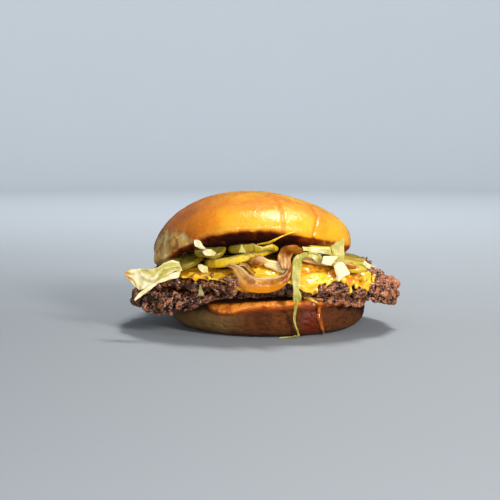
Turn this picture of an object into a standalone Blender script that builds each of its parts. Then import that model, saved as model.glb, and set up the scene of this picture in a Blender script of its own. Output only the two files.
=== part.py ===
"""Smash cheeseburger, life size: toasted heel bun, two thin craggy patties, melted cheese heaped with
soft onions, gherkin slices, shredded lettuce and a glazed crown bun that leans back on the filling.

Lengths in the tables and functions are millimetres; the meshes are written in metres. +X is the
burger's right, -Y its front and +Z up. Angles run anticlockwise seen from above, from +X.
"""

import math

import bmesh
import bpy
from mathutils import Vector, noise
from mathutils.bvhtree import BVHTree

MM = 0.001
GAP = 0.35  # clearance between neighbouring solids
SETTLE = 0.3  # added where two faceted surfaces follow each other
SEGMENTS = 96  # corners round each patty and the cheese
SEATING_ROUNDS = 3  # a slice is raised off the pile and slid out from under the bun this often
TAU = 2 * math.pi

# Heel, the lower half of the bun.
HEEL_CENTRE = (2.4, 0.0)
HEEL_RADIUS = 50.2
HEEL_HEIGHT = 18.0
HEEL_SEGMENTS = 64
HEEL_PROFILE = (  # radius and height from the flat foot, round the side, to the toasted face
    (42.0, 0.0), (45.6, 1.2), (48.4, 3.8), (49.9, 7.6), (50.2, 11.2),
    (49.4, 14.2), (47.2, 16.6), (43.5, 17.8), (30.0, HEEL_HEIGHT),
)
HEEL_SQUASH = (222, 34, 3.2)  # direction, half width and depth where the meat presses on the rim
HEEL_OVALS = ((2, 0.012, 0.6), (3, 0.010, 2.0))  # waves round the rim: number, share of radius, phase
HEEL_DENTS = 0.5  # how far soft dents move the side
# The run down the heel's front: (x, height, width), and its section as (share of width, depth).
DRIP_ROUTE = ((26.0, 16.6, 5.2), (27.0, 13.5, 4.6), (27.6, 10.0, 3.8), (27.8, 6.0, 3.4), (28.3, 2.8, 2.6))
DRIP_SECTION = ((-0.5, -0.5), (-0.25, 0.8), (0.0, 1.2), (0.25, 0.8), (0.5, -0.5))

# Patties. Each table holds values at 16 even angles, beginning at +X.
PATTY_THICKNESS = 5.0
LOWER_TOP = HEEL_HEIGHT + GAP + PATTY_THICKNESS
UPPER_TOP = LOWER_TOP + GAP + PATTY_THICKNESS
DROOP_START = 44.0
PARTING = (235, 40, 1.4)  # direction, half width and height of the dark gap between the rims
CRAGS = ((5.2, 0.75, 0), (3.1, 0.55, 40))  # lumps of the broken rim: size, share, offset of the noise
CRAG_REACH = 2.2
CRAG_LIFT = 1.5
# Section of a patty: (share of the radius, level from underside to top, how broken).
PATTY_SECTION = (
    (0.62, 0.0, 0.0), (0.80, 0.0, 0.0), (0.90, 0.0, 0.4), (0.97, 0.04, 0.9), (1.0, 0.34, 1.3),
    (1.0, 0.70, 1.3), (0.97, 0.97, 1.0), (0.90, 1.0, 0.6), (0.80, 1.0, 0.0), (0.62, 1.0, 0.0),
)
LOWER_RADIUS = (55, 57, 59, 61, 60, 57, 58, 62, 67, 69, 65, 57, 49.5, 51, 58, 57)
LOWER_DROOP = (2.6, 2.5, 3.5, 4.5, 4.0, 2.5, 3.0, 3.5, 3.0, 2.6, 3.4, 2.0, 0.2, 0.6, 3.4, 3.2)
LOWER_RIM = (5.6, 5.4, 6.2, 6.8, 6.4, 5.4, 6.0, 7.4, 9.0, 10.4, 10.6, 6.4, 4.4, 4.8, 7.2, 6.4)
UPPER_RADIUS = (68, 62, 60, 58, 58, 61, 62, 61, 61, 61, 60, 57, 53.5, 57, 64, 72)
UPPER_DROOP = (9.5, 5.5, 3.2, 2.8, 2.6, 3.6, 4.0, 3.8, 4.2, 3.0, 1.6, 1.2, 1.0, 1.8, 5.0, 11.6)
UPPER_RIM = (10.0, 7.4, 6.0, 5.4, 5.2, 6.2, 6.6, 6.0, 5.6, 5.2, 5.0, 4.8, 4.8, 5.8, 9.2, 11.4)

# Cheese: how far its edge runs past the upper patty's rim (below zero it stops short), as lobes of
# (angle in degrees, half width in degrees, length), over a base that stops short of the rim.
CHEESE_SKIN = 1.4
RIM_LIFT = 0.6  # how far the cheese stands off the patty's craggy rim
RIM_TURN = 2.1  # the cheese turns down this far past the rim
CHEESE_HANG = 0.96  # fall for each millimetre past the turn
CHEESE_BELLY = 1.2  # how far a hanging lobe swells outwards
CHEESE_SHARES = (0.36, 0.60, 0.75, 0.86, 0.93, 0.985)
CHEESE_BASE_REACH = -5.0
CHEESE_LOBES = (
    (345, 26, -11.0), (231, 21, 5.4), (262, 13, 12.6), (277, 8, 3.2), (288, 8, 9.0), (299, 9, 8.0),
    (294, 5, 4.0), (312, 6, 5.0), (328, 11, 3.0), (38, 9, 7.0), (66, 5, 5.0), (116, 8, 9.0),
    (150, 7, 5.5), (186, 12, -3.0),
)
# The cheese's heap over soft onions: (x, y, radius in x, radius in y, height).
HEAP = (
    (-4, -38, 17, 16, 5.0), (20, -38, 16, 15, 7.0), (42, -28, 13, 14, 4.2),
    (-34, -33, 13, 12, 2.4), (-4, 4, 32, 12, 9.0),
)

# Crown, the upper half of the bun.
CROWN_CENTRE = (-6.5, 0.0)
CROWN_RADIUS = 51.7
CROWN_POLE = (-5.0, -4.0)  # the summit's offset from the centre
CROWN_TOP = 69.3
LIP_LEVEL = 39.4
LIP_TILT = 6.8  # rise towards the front and fall towards the back
LIP_END_RISE = 2.4  # rise at front and back alike
LIP_ROLL = 2.0  # rise towards the right
LIP_SIDE_SAG = 4.4
TORN_SIDE = (200, 25, 4.8)  # direction, half width and depth of the sag on the left
CUT_RECESS = 2.8  # how far the cut face lies above the lip
EQUATOR_ABOVE_LIP = 4.6
CROWN_SEGMENTS = 56
CROWN_OVALS = ((2, 0.008, 1.0), (5, 0.006, 0.0))  # waves round the rim: number, share of radius, phase
CUT_SHARES = (0.5, 0.82)
LIP_SECTION = ((0.90, 0.35), (0.945, 0.0), (0.978, 1.1), (0.995, 2.8))  # share of the radius, height
DOME_ROWS = 9
DOME_SQUARENESS = (1.96, 0.07)  # 2 is an ellipse; the second value steepens the right side


def smooth(low, high, value):
    """0 below low, 1 above high, and an S curve between."""
    t = min(1.0, max(0.0, (value - low) / (high - low)))
    return t * t * (3 - 2 * t)


def between(a, b, c, d, t):
    """A smooth value a share t of the way from b to c, with a before them and d after."""
    return b + 0.5 * t * (c - a + t * (2 * a - 5 * b + 4 * c - d + t * (3 * (b - c) + d - a)))


def around(table, angle):
    """A smooth closed curve through values at even angles."""
    count = len(table)
    place = (angle / TAU) % 1.0 * count
    i = int(place)
    return between(*(table[(i + k) % count] for k in (-1, 0, 1, 2)), place - i)


def bump(x, y, z, size):
    """Smooth noise from -1 to 1 whose lumps are about size across."""
    return noise.noise(Vector((x, y, z)) / size)


def angle_gap(a, b):
    """The smaller angle between two directions, in degrees."""
    return abs((a - b + 180) % 360 - 180)


def mesh_object(name, points, faces, material, smooth_below=50):
    """An object from points in millimetres, with its faces turned outwards."""
    shape = bmesh.new()
    corners = [shape.verts.new(Vector(p) * MM) for p in points]
    for face in faces:
        shape.faces.new([corners[i] for i in face])
    bmesh.ops.recalc_face_normals(shape, faces=shape.faces)
    mesh = bpy.data.meshes.new(name)
    shape.to_mesh(mesh)
    shape.free()
    mesh.shade_smooth()
    mesh.set_sharp_from_angle(angle=math.radians(smooth_below))
    mesh.materials.append(material)
    piece = bpy.data.objects.new(name, mesh)
    bpy.context.scene.collection.objects.link(piece)
    return piece


def turned(name, bottom, rings, top, material, smooth_below=50):
    """A closed solid from a bottom point, rings of equal length and a top point."""
    count = len(rings[0])
    points = [bottom, *(p for ring in rings for p in ring), top]
    faces = []
    for i in range(count):
        j = (i + 1) % count
        faces.append((0, 1 + j, 1 + i))
        for row in range(len(rings) - 1):
            low, high = 1 + row * count, 1 + (row + 1) * count
            faces.append((low + i, low + j, high + j, high + i))
        last = 1 + (len(rings) - 1) * count
        faces.append((last + i, last + j, len(points) - 1))
    return mesh_object(name, points, faces, material, smooth_below)


def slab(name, grid, thickness, material):
    """A thin closed solid of even thickness behind a grid of points on its outer side."""
    rows, columns = len(grid), len(grid[0])
    front = [Vector(p) for row in grid for p in row]
    normals = []
    for r in range(rows):
        for c in range(columns):
            along = Vector(grid[min(r + 1, rows - 1)][c]) - Vector(grid[max(r - 1, 0)][c])
            across = Vector(grid[r][min(c + 1, columns - 1)]) - Vector(grid[r][max(c - 1, 0)])
            normals.append(along.cross(across).normalized())
    mean = sum(normals, Vector())
    side = 1 if mean.y < 0 or (abs(mean.y) < abs(mean.z) and mean.z > 0) else -1
    back = [p - n * side * thickness for p, n in zip(front, normals)]
    points = front + back
    shift = rows * columns
    faces = []
    for r in range(rows - 1):
        for c in range(columns - 1):
            a = r * columns + c
            b, d, e = a + 1, a + columns, a + columns + 1
            faces += [(a, b, e), (a, e, d)]
            faces += [(a + shift, e + shift, b + shift), (a + shift, d + shift, e + shift)]
    loop = list(range(columns))
    loop += [r * columns + columns - 1 for r in range(1, rows)]
    loop += [(rows - 1) * columns + c for c in range(columns - 2, -1, -1)]
    loop += [r * columns for r in range(rows - 2, 0, -1)]
    for i, a in enumerate(loop):
        b = loop[(i + 1) % len(loop)]
        faces.append((a, b, b + shift, a + shift))
    return mesh_object(name, points, faces, material, 60)


def surface_of(*pieces):
    """A search tree over the surfaces of finished pieces, in millimetres."""
    points, faces = [], []
    for piece in pieces:
        start = len(points)
        points += [v.co / MM for v in piece.data.vertices]
        faces += [[start + i for i in face.vertices] for face in piece.data.polygons]
    return BVHTree.FromPolygons(points, faces)


def swollen(piece, by):
    """A search tree over the piece's surface moved outwards."""
    points = [v.co / MM + v.normal * by for v in piece.data.vertices]
    return BVHTree.FromPolygons(points, [list(face.vertices) for face in piece.data.polygons])


def set_clear(piece, pile, direction, step=0.25, most=60):
    """Moves a piece along direction until it clears the pile by GAP."""
    for _ in range(most):
        if not swollen(piece, GAP).overlap(pile):
            return
        for vertex in piece.data.vertices:
            vertex.co += Vector(direction) * step * MM


def material(name, colour, roughness):
    made = bpy.data.materials.new(name)
    made.use_nodes = True
    shader = made.node_tree.nodes["Principled BSDF"]
    shader.inputs["Base Color"].default_value = (*colour, 1)
    shader.inputs["Roughness"].default_value = roughness
    shader.inputs["Metallic"].default_value = 0.0
    made.diffuse_color = (*colour, 1)
    return made


def lobe(angle, direction, half_width):
    """1 in a direction and 0 well away from it; angle in radians, the others in degrees."""
    return math.exp(-((angle_gap(math.degrees(angle), direction) / half_width) ** 2))


def ovals(waves, angle):
    """How much longer than its mean a rim's radius is at an angle, as a share."""
    return sum(size * math.cos(number * angle + phase) for number, size, phase in waves)


def heel_point(angle, radius, height):
    """A point of the heel: the front left of its rim is squashed a little by the meat over it."""
    direction, half_width, depth = HEEL_SQUASH
    sag = depth * lobe(angle, direction, half_width)
    height -= sag * smooth(6, 17, height) * smooth(0.7, 0.97, radius / HEEL_RADIUS)
    radius *= 1 + ovals(HEEL_OVALS, angle) * smooth(0.5, 0.9, radius / HEEL_RADIUS)
    x = HEEL_CENTRE[0] + radius * math.cos(angle)
    y = HEEL_CENTRE[1] + radius * math.sin(angle)
    if 2 < height < 16:
        dent = HEEL_DENTS * bump(x, y, height, 14)
        x += dent * math.cos(angle)
        y += dent * math.sin(angle)
    return x, y, height


def build_heel(bread):
    """The heel: a flat foot, a soft rounded side and a shoulder where its toasted face turns down."""
    rings = [
        [heel_point(TAU * i / HEEL_SEGMENTS, radius, height) for i in range(HEEL_SEGMENTS)]
        for radius, height in HEEL_PROFILE
    ]
    return turned("heel", (*HEEL_CENTRE, 0.0), rings, (*HEEL_CENTRE, HEEL_HEIGHT), bread)


def fuse(base, added):
    """Joins a piece to its base by one union and removes it. The EXACT solver gives no faces here."""
    group = bpy.data.collections.new("fused")
    bpy.context.scene.collection.children.link(group)
    group.objects.link(added)
    union = base.modifiers.new("fused", "BOOLEAN")
    union.operation = "UNION"
    union.operand_type = "COLLECTION"
    union.collection = group
    union.solver = "MANIFOLD"
    bpy.context.view_layer.update()
    graph = bpy.context.evaluated_depsgraph_get()
    joined = bpy.data.meshes.new_from_object(base.evaluated_get(graph))
    base.modifiers.clear()
    base.data = joined
    bpy.data.objects.remove(added)
    bpy.data.collections.remove(group)


def build_heel_drip(heel, sauce):
    """The run of cheese fat and sauce down the heel's front, fused to the bread."""
    bread = surface_of(heel)
    grid = []
    for x, z, width in DRIP_ROUTE:
        row = []
        for share, out in DRIP_SECTION:
            hit = bread.ray_cast(Vector((x + share * width, -90, z)), Vector((0, 1, 0)))[0]
            row.append((x + share * width, hit.y - out, z))
        grid.append(row)
    fuse(heel, slab("heel_drip", grid, 2.0, sauce))


def lower_top(radius, angle):
    """Height of the lower patty's top before its crags."""
    reach = around(LOWER_RADIUS, angle) - DROOP_START
    share = max(0.0, radius - DROOP_START) / reach
    return LOWER_TOP - around(LOWER_DROOP, angle) * share**1.6


def upper_bottom(radius, angle):
    """Height of the upper patty's underside: it hangs, but rests on the lower patty where they meet."""
    reach = around(UPPER_RADIUS, angle) - DROOP_START
    share = max(0.0, radius - DROOP_START) / reach
    hung = LOWER_TOP + GAP - around(UPPER_DROOP, angle) * share**1.7
    rests_to = around(LOWER_RADIUS, angle) + 2.0
    direction, half_width, height = PARTING
    parted = height * lobe(angle, direction, half_width) * smooth(42, 54, radius)
    if radius < rests_to:
        return max(hung + parted, lower_top(radius, angle) + GAP + 0.5 * smooth(40, 50, radius))
    return hung + parted


def upper_top(radius, angle):
    """Height of the upper patty's top before its crags."""
    rim = around(UPPER_RIM, angle) - PATTY_THICKNESS
    share = radius / around(UPPER_RADIUS, angle)
    return upper_bottom(radius, angle) + PATTY_THICKNESS + rim * smooth(0.8, 1.0, share)


def cheese_reach(angle):
    """How far the cheese runs past the upper patty's rim at an angle."""
    return CHEESE_BASE_REACH + sum(length * lobe(angle, at, wide) for at, wide, length in CHEESE_LOBES)


def crag(x, y, z):
    """Broken minced edge: coarse lumps with finer ones on them."""
    return sum(share * bump(x, y, z + offset, size) for size, share, offset in CRAGS)


def patty_rings(radii, top, bottom, bare_top, bare_bottom):
    """Rings of a patty from its underside's middle, round the broken rim, to its top's middle.

    bare_top and bare_bottom say how free a side is at a radius and angle: 0 where it lies on a
    neighbour, 1 where the crags may stand out.
    """
    rows = []
    for share, level, broken in PATTY_SECTION:
        row = []
        for i in range(SEGMENTS):
            angle = TAU * i / SEGMENTS
            rim = around(radii, angle)
            notch = rim * share
            x, y = notch * math.cos(angle), notch * math.sin(angle)
            free = (bare_top if level > 0.5 else bare_bottom)(notch, angle)
            notch += CRAG_REACH * broken * (0.2 + 0.8 * free) * crag(x, y, 9 * level)
            low, high = bottom(notch, angle), top(notch, angle)
            lift = CRAG_LIFT * broken * free * crag(x, y, 60 + 9 * level)
            row.append((notch * math.cos(angle), notch * math.sin(angle), low + level * (high - low) + lift))
        rows.append(row)
    return rows


def build_lower_patty(meat):
    """The lower patty lies on the heel; past the heel's rim it thickens and hangs."""

    def bottom(radius, angle):
        rim = around(LOWER_RIM, angle) - PATTY_THICKNESS
        return lower_top(radius, angle) - PATTY_THICKNESS - rim * smooth(52, 60, radius)

    def bare_top(radius, angle):
        return smooth(1.0, 4.0, radius - around(UPPER_RADIUS, angle))

    def bare_bottom(radius, angle):
        across = radius * math.cos(angle) - HEEL_CENTRE[0]
        return smooth(1.5, 5.0, math.hypot(across, radius * math.sin(angle)) - HEEL_RADIUS)

    rings = patty_rings(LOWER_RADIUS, lower_top, bottom, bare_top, bare_bottom)
    middle = (0, 0, LOWER_TOP - PATTY_THICKNESS)
    return turned("patty_lower", middle, rings, (0, 0, LOWER_TOP), meat, 35)


def build_upper_patty(lower_piece, meat):
    """The upper patty lies on the lower one; its rim is calm where the cheese hangs over it."""
    lower = surface_of(lower_piece)

    def bottom(radius, angle):
        height = upper_bottom(radius, angle)
        x, y = radius * math.cos(angle), radius * math.sin(angle)
        hit = lower.ray_cast(Vector((x, y, 60)), Vector((0, 0, -1)))[0]
        return height if hit is None else max(height, hit.z + GAP + SETTLE)

    def bare_top(radius, angle):
        return smooth(1.0, 4.0, radius - around(UPPER_RADIUS, angle) - cheese_reach(angle))

    def bare_bottom(radius, angle):
        return smooth(1.0, 4.0, radius - around(LOWER_RADIUS, angle))

    rings = patty_rings(UPPER_RADIUS, upper_top, bottom, bare_top, bare_bottom)
    return turned("patty_upper", (0, 0, LOWER_TOP + GAP + SETTLE), rings, (0, 0, UPPER_TOP), meat, 35)


def heap(x, y):
    """Height of the onions and cheese heaped over the patty."""
    total = 0.0
    for centre_x, centre_y, wide, deep, height in HEAP:
        away = ((x - centre_x) / wide) ** 2 + ((y - centre_y) / deep) ** 2
        total = math.hypot(total, height * math.exp(-away))
    return total


def cheese_path(angle, run, outer, patty):
    """A point on the cheese's under or outer side, run millimetres from the middle along the patty."""
    rim = around(UPPER_RADIUS, angle)
    turn = rim + RIM_TURN
    edge = rim + cheese_reach(angle)
    on_top = min(run, turn)
    x, y = on_top * math.cos(angle), on_top * math.sin(angle)
    height = upper_top(min(on_top, rim), angle) + GAP
    hit = patty.ray_cast(Vector((x, y, 60)), Vector((0, 0, -1)))[0]
    if hit is not None:
        height = max(height, hit.z + GAP + SETTLE)
    height += RIM_LIFT * smooth(0.84, 1.0, on_top / rim)
    over = max(0.0, run - turn)
    thin = 0.55 + 0.45 * smooth(0.0, 7.0, edge - run)
    if outer:
        skin = (CHEESE_SKIN + 0.35 * bump(x, y, over, 7)) * thin
        height += skin * smooth(9.0, 0.0, over) + heap(x, y) * smooth(0.0, 14.0, edge - on_top)
        belly = CHEESE_BELLY * smooth(1.5, 6.0, over) * smooth(0, 3, edge - run)
        on_top += skin * smooth(-2.5, 2.0, run - turn) + belly
    return on_top * math.cos(angle), on_top * math.sin(angle), height - CHEESE_HANG * over


def build_cheese(patty_piece, cheese):
    """Melted cheese: a skin on the upper patty, heaped at the front, with lobes over the rim."""
    patty = surface_of(patty_piece)
    under, outer = [], []
    for share in CHEESE_SHARES:
        for outside, rows in ((False, under), (True, outer)):
            row = []
            for i in range(SEGMENTS):
                angle = TAU * i / SEGMENTS
                edge = around(UPPER_RADIUS, angle) + cheese_reach(angle)
                row.append(cheese_path(angle, edge * share, outside, patty))
            rows.append(row)
    lip = []
    for i in range(SEGMENTS):
        angle = TAU * i / SEGMENTS
        edge = around(UPPER_RADIUS, angle) + cheese_reach(angle)
        low, high = (Vector(cheese_path(angle, edge, outside, patty)) for outside in (False, True))
        lip.append(tuple((low + high) / 2 + Vector((0, 0, 0.1))))
    rings = under + [lip] + outer[::-1]
    top = UPPER_TOP + GAP + CHEESE_SKIN + heap(0, 0)
    return turned("cheese", (0, 0, UPPER_TOP + GAP + SETTLE), rings, (0, 0, top), cheese)


def underside(x, y):
    """Height of the crown's cut face without the sag of its left side."""
    across = (x - CROWN_CENTRE[0]) / CROWN_RADIUS
    back = (y - CROWN_CENTRE[1]) / CROWN_RADIUS
    tilt = LIP_END_RISE * back * back - LIP_TILT * back
    return LIP_LEVEL + tilt + LIP_ROLL * across - LIP_SIDE_SAG * across * across


def lip_height(angle):
    """Height of the crown's lowest edge: raised at the front by the filling, sagging at the sides."""
    at, wide, depth = TORN_SIDE
    sag = depth * lobe(angle, at, wide)
    x = CROWN_CENTRE[0] + CROWN_RADIUS * math.cos(angle)
    y = CROWN_CENTRE[1] + CROWN_RADIUS * math.sin(angle)
    return underside(x, y) - sag


def crown_point(angle, share, height):
    """A point of the crown, a share of the way out, height above the lip's level there."""
    radius = CROWN_RADIUS * (1 + ovals(CROWN_OVALS, angle))
    inward = 1 - share
    x = CROWN_CENTRE[0] + share * radius * math.cos(angle) + inward * CROWN_POLE[0]
    y = CROWN_CENTRE[1] + share * radius * math.sin(angle) + inward * CROWN_POLE[1]
    return x, y, height


def build_crown(bread):
    """The crown: a cut face, a rolled lip and a dome that is steeper on its left."""
    rings = []
    for share in CUT_SHARES:
        row = []
        for i in range(CROWN_SEGMENTS):
            x, y, _ = crown_point(TAU * i / CROWN_SEGMENTS, share, 0)
            row.append((x, y, underside(x, y) + CUT_RECESS))
        rings.append(row)
    for share, above in LIP_SECTION:
        rings.append([
            crown_point(a, share, lip_height(a) + above)
            for a in (TAU * i / CROWN_SEGMENTS for i in range(CROWN_SEGMENTS))
        ])
    for step in range(DOME_ROWS):
        tilt = math.radians(88 * (step / (DOME_ROWS - 0.6)) ** 0.92)
        row = []
        for i in range(CROWN_SEGMENTS):
            angle = TAU * i / CROWN_SEGMENTS
            power = 2 / (DOME_SQUARENESS[0] + DOME_SQUARENESS[1] * math.cos(angle))
            equator = lip_height(angle) + EQUATOR_ABOVE_LIP
            rise = (CROWN_TOP - equator) * math.sin(tilt) ** power
            row.append(crown_point(angle, math.cos(tilt) ** power, equator + rise))
        rings.append(row)
    middle_x, middle_y, _ = crown_point(0, 0, 0)
    bottom = (middle_x, middle_y, underside(middle_x, middle_y) + CUT_RECESS)
    return turned("crown", bottom, rings, (middle_x, middle_y, CROWN_TOP), bread)


def spline(points, count):
    """Even samples of a smooth curve through points of any dimension."""
    padded = [points[0], *points, points[-1]]
    spans = len(points) - 1
    samples = []
    for k in range(count):
        place = spans * k / (count - 1)
        i = min(int(place), spans - 1)
        t = place - i
        sample = []
        for a, b, c, d in zip(*padded[i : i + 4]):
            sample.append(between(a, b, c, d, t))
        samples.append(sample)
    return samples


def drape(grid, pile, lift, rounds=14):
    """Moves a grid of (x, z, y limit) back onto the pile and eases it across hollows."""
    rows, columns = len(grid), len(grid[0])
    limit = [[0.0] * columns for _ in range(rows)]
    for r in range(rows):
        for c in range(columns):
            x, z, held = grid[r][c]
            hit = pile.ray_cast(Vector((x, -120, z)), Vector((0, 1, 0)))[0]
            limit[r][c] = min(held, hit.y - lift) if hit is not None else held
    depth = [row[:] for row in limit]
    for _ in range(rounds):
        eased = [row[:] for row in depth]
        for r in range(rows):
            for c in range(columns):
                near = [
                    depth[rr][cc]
                    for rr, cc in ((r - 1, c), (r + 1, c), (r, c - 1), (r, c + 1))
                    if 0 <= rr < rows and 0 <= cc < columns
                ]
                eased[r][c] = min(limit[r][c], 0.5 * depth[r][c] + 0.5 * sum(near) / len(near))
        depth = eased
    return [[(grid[r][c][0], depth[r][c], grid[r][c][1]) for c in range(columns)] for r in range(rows)]


def ribbon_grid(route, count, across, ripple=0.0):
    """A grid of (x, z, y limit) along a route of (x, z, y limit, width) seen from the front."""
    samples = spline(route, count)
    grid = []
    for k, (x, z, held, width) in enumerate(samples):
        ahead, behind = samples[min(k + 1, count - 1)], samples[max(k - 1, 0)]
        way = Vector((ahead[0] - behind[0], ahead[1] - behind[1])).normalized()
        row = []
        for c in range(across):
            share = c / (across - 1) - 0.5
            curl = 2 * abs(share) * ripple * math.sin(1.9 * k + 2.5 * share)
            row.append((x - way.y * width * share, z + way.x * width * share, held - curl))
        grid.append(row)
    return grid


ONION_THICKNESS = 1.5
# Onion strips, laid on the cheese from the front: (x, z, furthest y, width) along each.
ONIONS = {
    "onion_1": ((-16.5, 39.0, -40, 3.2), (-11.5, 33.8, -40, 4.4), (-6.0, 29.0, -40, 4.6),
                (1.0, 27.0, -40, 4.8), (7.5, 28.6, -40, 4.4), (12.4, 33.0, -40, 3.4)),
    "onion_2": ((-4.6, 39.8, -40, 3.2), (0.6, 38.8, -40, 4.2), (5.0, 36.4, -40, 4.0), (8.4, 33.2, -40, 2.8)),
    "onion_3": ((4.4, 37.4, -40, 3.0), (6.0, 41.0, -40, 4.0), (10.0, 43.8, -40, 4.2),
                (15.0, 44.4, -40, 4.0), (19.6, 42.4, -40, 2.8)),
    "onion_4": ((18.0, 39.8, -40, 3.0), (23.2, 38.6, -40, 3.8), (28.4, 37.2, -40, 3.0)),
    "onion_5": ((31.0, 35.8, -40, 2.6), (36.0, 34.2, -40, 3.4), (42.0, 34.4, -40, 2.4)),
}
BACK_ONION = {"onion_6": ((33.0, 43.0, 3.0), (26.0, 50.0, 4.2), (17.0, 54.5, 3.2))}

# Gherkin slices: (x, y, z) of the centre, radius, thickness, degrees that the front stands up,
# degrees that the right side stands up, millimetres of bend, and a curled edge as (angle, start
# share, height).
GHERKINS = {
    "gherkin_1": ((-9.5, -32.8, 38.0), 19.3, 3.6, 7.0, 9.0, 0.5, (310, 0.8, 0.0)),
    "gherkin_2": ((-1.6, -41.2, 43.6), 16.2, 2.0, 6.0, 5.5, 0.0, (312, 0.82, 6.8)),
    "gherkin_3": ((-39.6, -32.5, 34.8), 11.0, 2.4, 4.0, 14.0, 0.6, (0, 0.8, 0.0)),
    "gherkin_4": ((-28.6, -40.6, 40.9), 8.0, 2.0, -2.0, 6.0, 0.3, (250, 0.6, 1.2)),
    "gherkin_5": ((40.0, -36.0, 36.8), 12.2, 2.8, -12.0, -12.0, 0.8, (130, 0.7, 0.0)),
    "gherkin_6": ((12.0, 38.5, 32.0), 14.5, 1.9, 1.5, 1.0, 0.2, (90, 0.8, 0.0)),
    "gherkin_7": ((-18.0, 37.5, 31.6), 12.5, 1.9, 2.0, 2.0, 0.2, (90, 0.8, 0.0)),
    "gherkin_8": ((27.5, -41.0, 41.6), 6.4, 2.2, 4.0, -4.0, 0.3, (0, 0.8, 0.0)),
}

LEAF_THICKNESS = 0.8
# Lettuce shreds: (x, z, furthest y, width) along each, and rows along and across.
LETTUCE = {
    "lettuce_1": (((-37.0, 37.0, -46, 4.0), (-43.0, 35.0, -47, 6.0), (-50.5, 31.5, -47, 9.0),
                   (-58.0, 29.0, -46, 11.0), (-66.0, 31.5, -44, 4.5)), 12, 4),
    "lettuce_2": (((-38.5, 34.0, -50, 4.0), (-45.0, 29.5, -51, 4.6), (-52.5, 24.0, -52, 3.8),
                   (-59.5, 18.6, -52, 1.6)), 9, 3),
    "lettuce_3": (((-34.2, 46.8, -54, 2.6), (-31.8, 46.6, -54, 5.4), (-28.8, 45.4, -54, 4.6),
                   (-27.4, 43.8, -54, 2.0)), 6, 3),
    "lettuce_4": (((-29.2, 43.0, -56, 2.4), (-26.0, 43.2, -56, 4.0), (-22.6, 42.4, -56, 1.6)), 6, 3),
    "lettuce_5": (((-12.4, 43.4, -56, 3.8), (-11.6, 45.4, -56, 2.6), (-11.2, 47.8, -56, 0.9)), 5, 3),
    "lettuce_6": (((-30.6, 36.0, -56, 4.4), (-28.4, 35.2, -56, 4.8), (-26.2, 34.0, -56, 4.0)), 5, 3),
    "lettuce_7": (((-29.6, 21.6, -58, 4.0), (-29.7, 24.8, -58, 3.0), (-29.9, 28.2, -58, 0.9)), 5, 3),
    "lettuce_8": (((27.8, 41.2, -50, 3.0), (22.0, 42.0, -52, 4.0), (16.6, 42.2, -55, 4.8),
                   (13.5, 38.4, -58, 5.2), (13.4, 32.4, -60, 5.4), (14.2, 26.0, -61, 5.0),
                   (14.6, 21.5, -60, 3.4), (15.0, 17.0, -58, 2.4), (14.2, 11.5, -55, 2.0),
                   (15.0, 7.0, -53, 1.6), (16.2, 3.6, -51.5, 1.5), (14.4, 1.6, -50, 1.5),
                   (10.0, 1.4, -48.6, 1.4), (6.4, 1.6, -47.4, 0.9)), 32, 3),
    "lettuce_9": (((28.6, 44.8, -50, 2.4), (22.0, 46.0, -51, 3.2), (15.8, 46.6, -52, 2.0)), 7, 3),
    "lettuce_10": (((37.0, 49.0, -50, 4.0), (36.0, 45.4, -50, 7.2), (35.6, 40.6, -51, 6.6)), 7, 3),
    "lettuce_11": (((26.4, 40.2, -56, 4.0), (31.2, 40.6, -56, 4.6), (36.0, 40.2, -56, 3.6)), 6, 3),
    "lettuce_12": (((37.8, 38.6, -56, 5.6), (37.2, 34.8, -57, 7.2), (35.4, 31.2, -58, 2.2)), 7, 3),
    "lettuce_13": (((46.8, 38.2, -44, 2.2), (49.6, 36.4, -44, 3.0), (52.0, 34.2, -44, 1.6)), 5, 3),
}

# Shreds that show at the back and sides lie on the top of the cheese: (x, y, width) along each.
BACK_LETTUCE = {
    "lettuce_14": ((42.0, 33.0, 3.0), (47.0, 37.0, 4.6), (51.0, 42.0, 2.0)),
    "lettuce_15": ((-6.0, 53.0, 2.6), (0.0, 56.0, 4.0), (8.0, 57.5, 2.0)),
    "lettuce_16": ((-46.0, 39.0, 2.6), (-51.5, 34.0, 4.4), (-55.5, 28.0, 2.4)),
    "lettuce_17": ((48.0, 14.0, 3.0), (54.0, 11.0, 4.6), (60.0, 10.0, 2.4)),
}


def build_onions(pile_pieces, onion):
    """Soft onion strips on the front of the heap, each thicker in its middle."""
    made = []
    for name, route in ONIONS.items():
        pile = surface_of(*pile_pieces, *made)
        grid = drape(ribbon_grid(route, 11, 4), pile, 2.2)
        rounded = [
            [(x, y - 0.5 * math.sin(math.pi * c / 3), z) for c, (x, y, z) in enumerate(row)] for row in grid
        ]
        piece = slab(name, rounded, ONION_THICKNESS, onion)
        set_clear(piece, pile, (0, -1, 0))
        made.append(piece)
    return made


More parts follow.
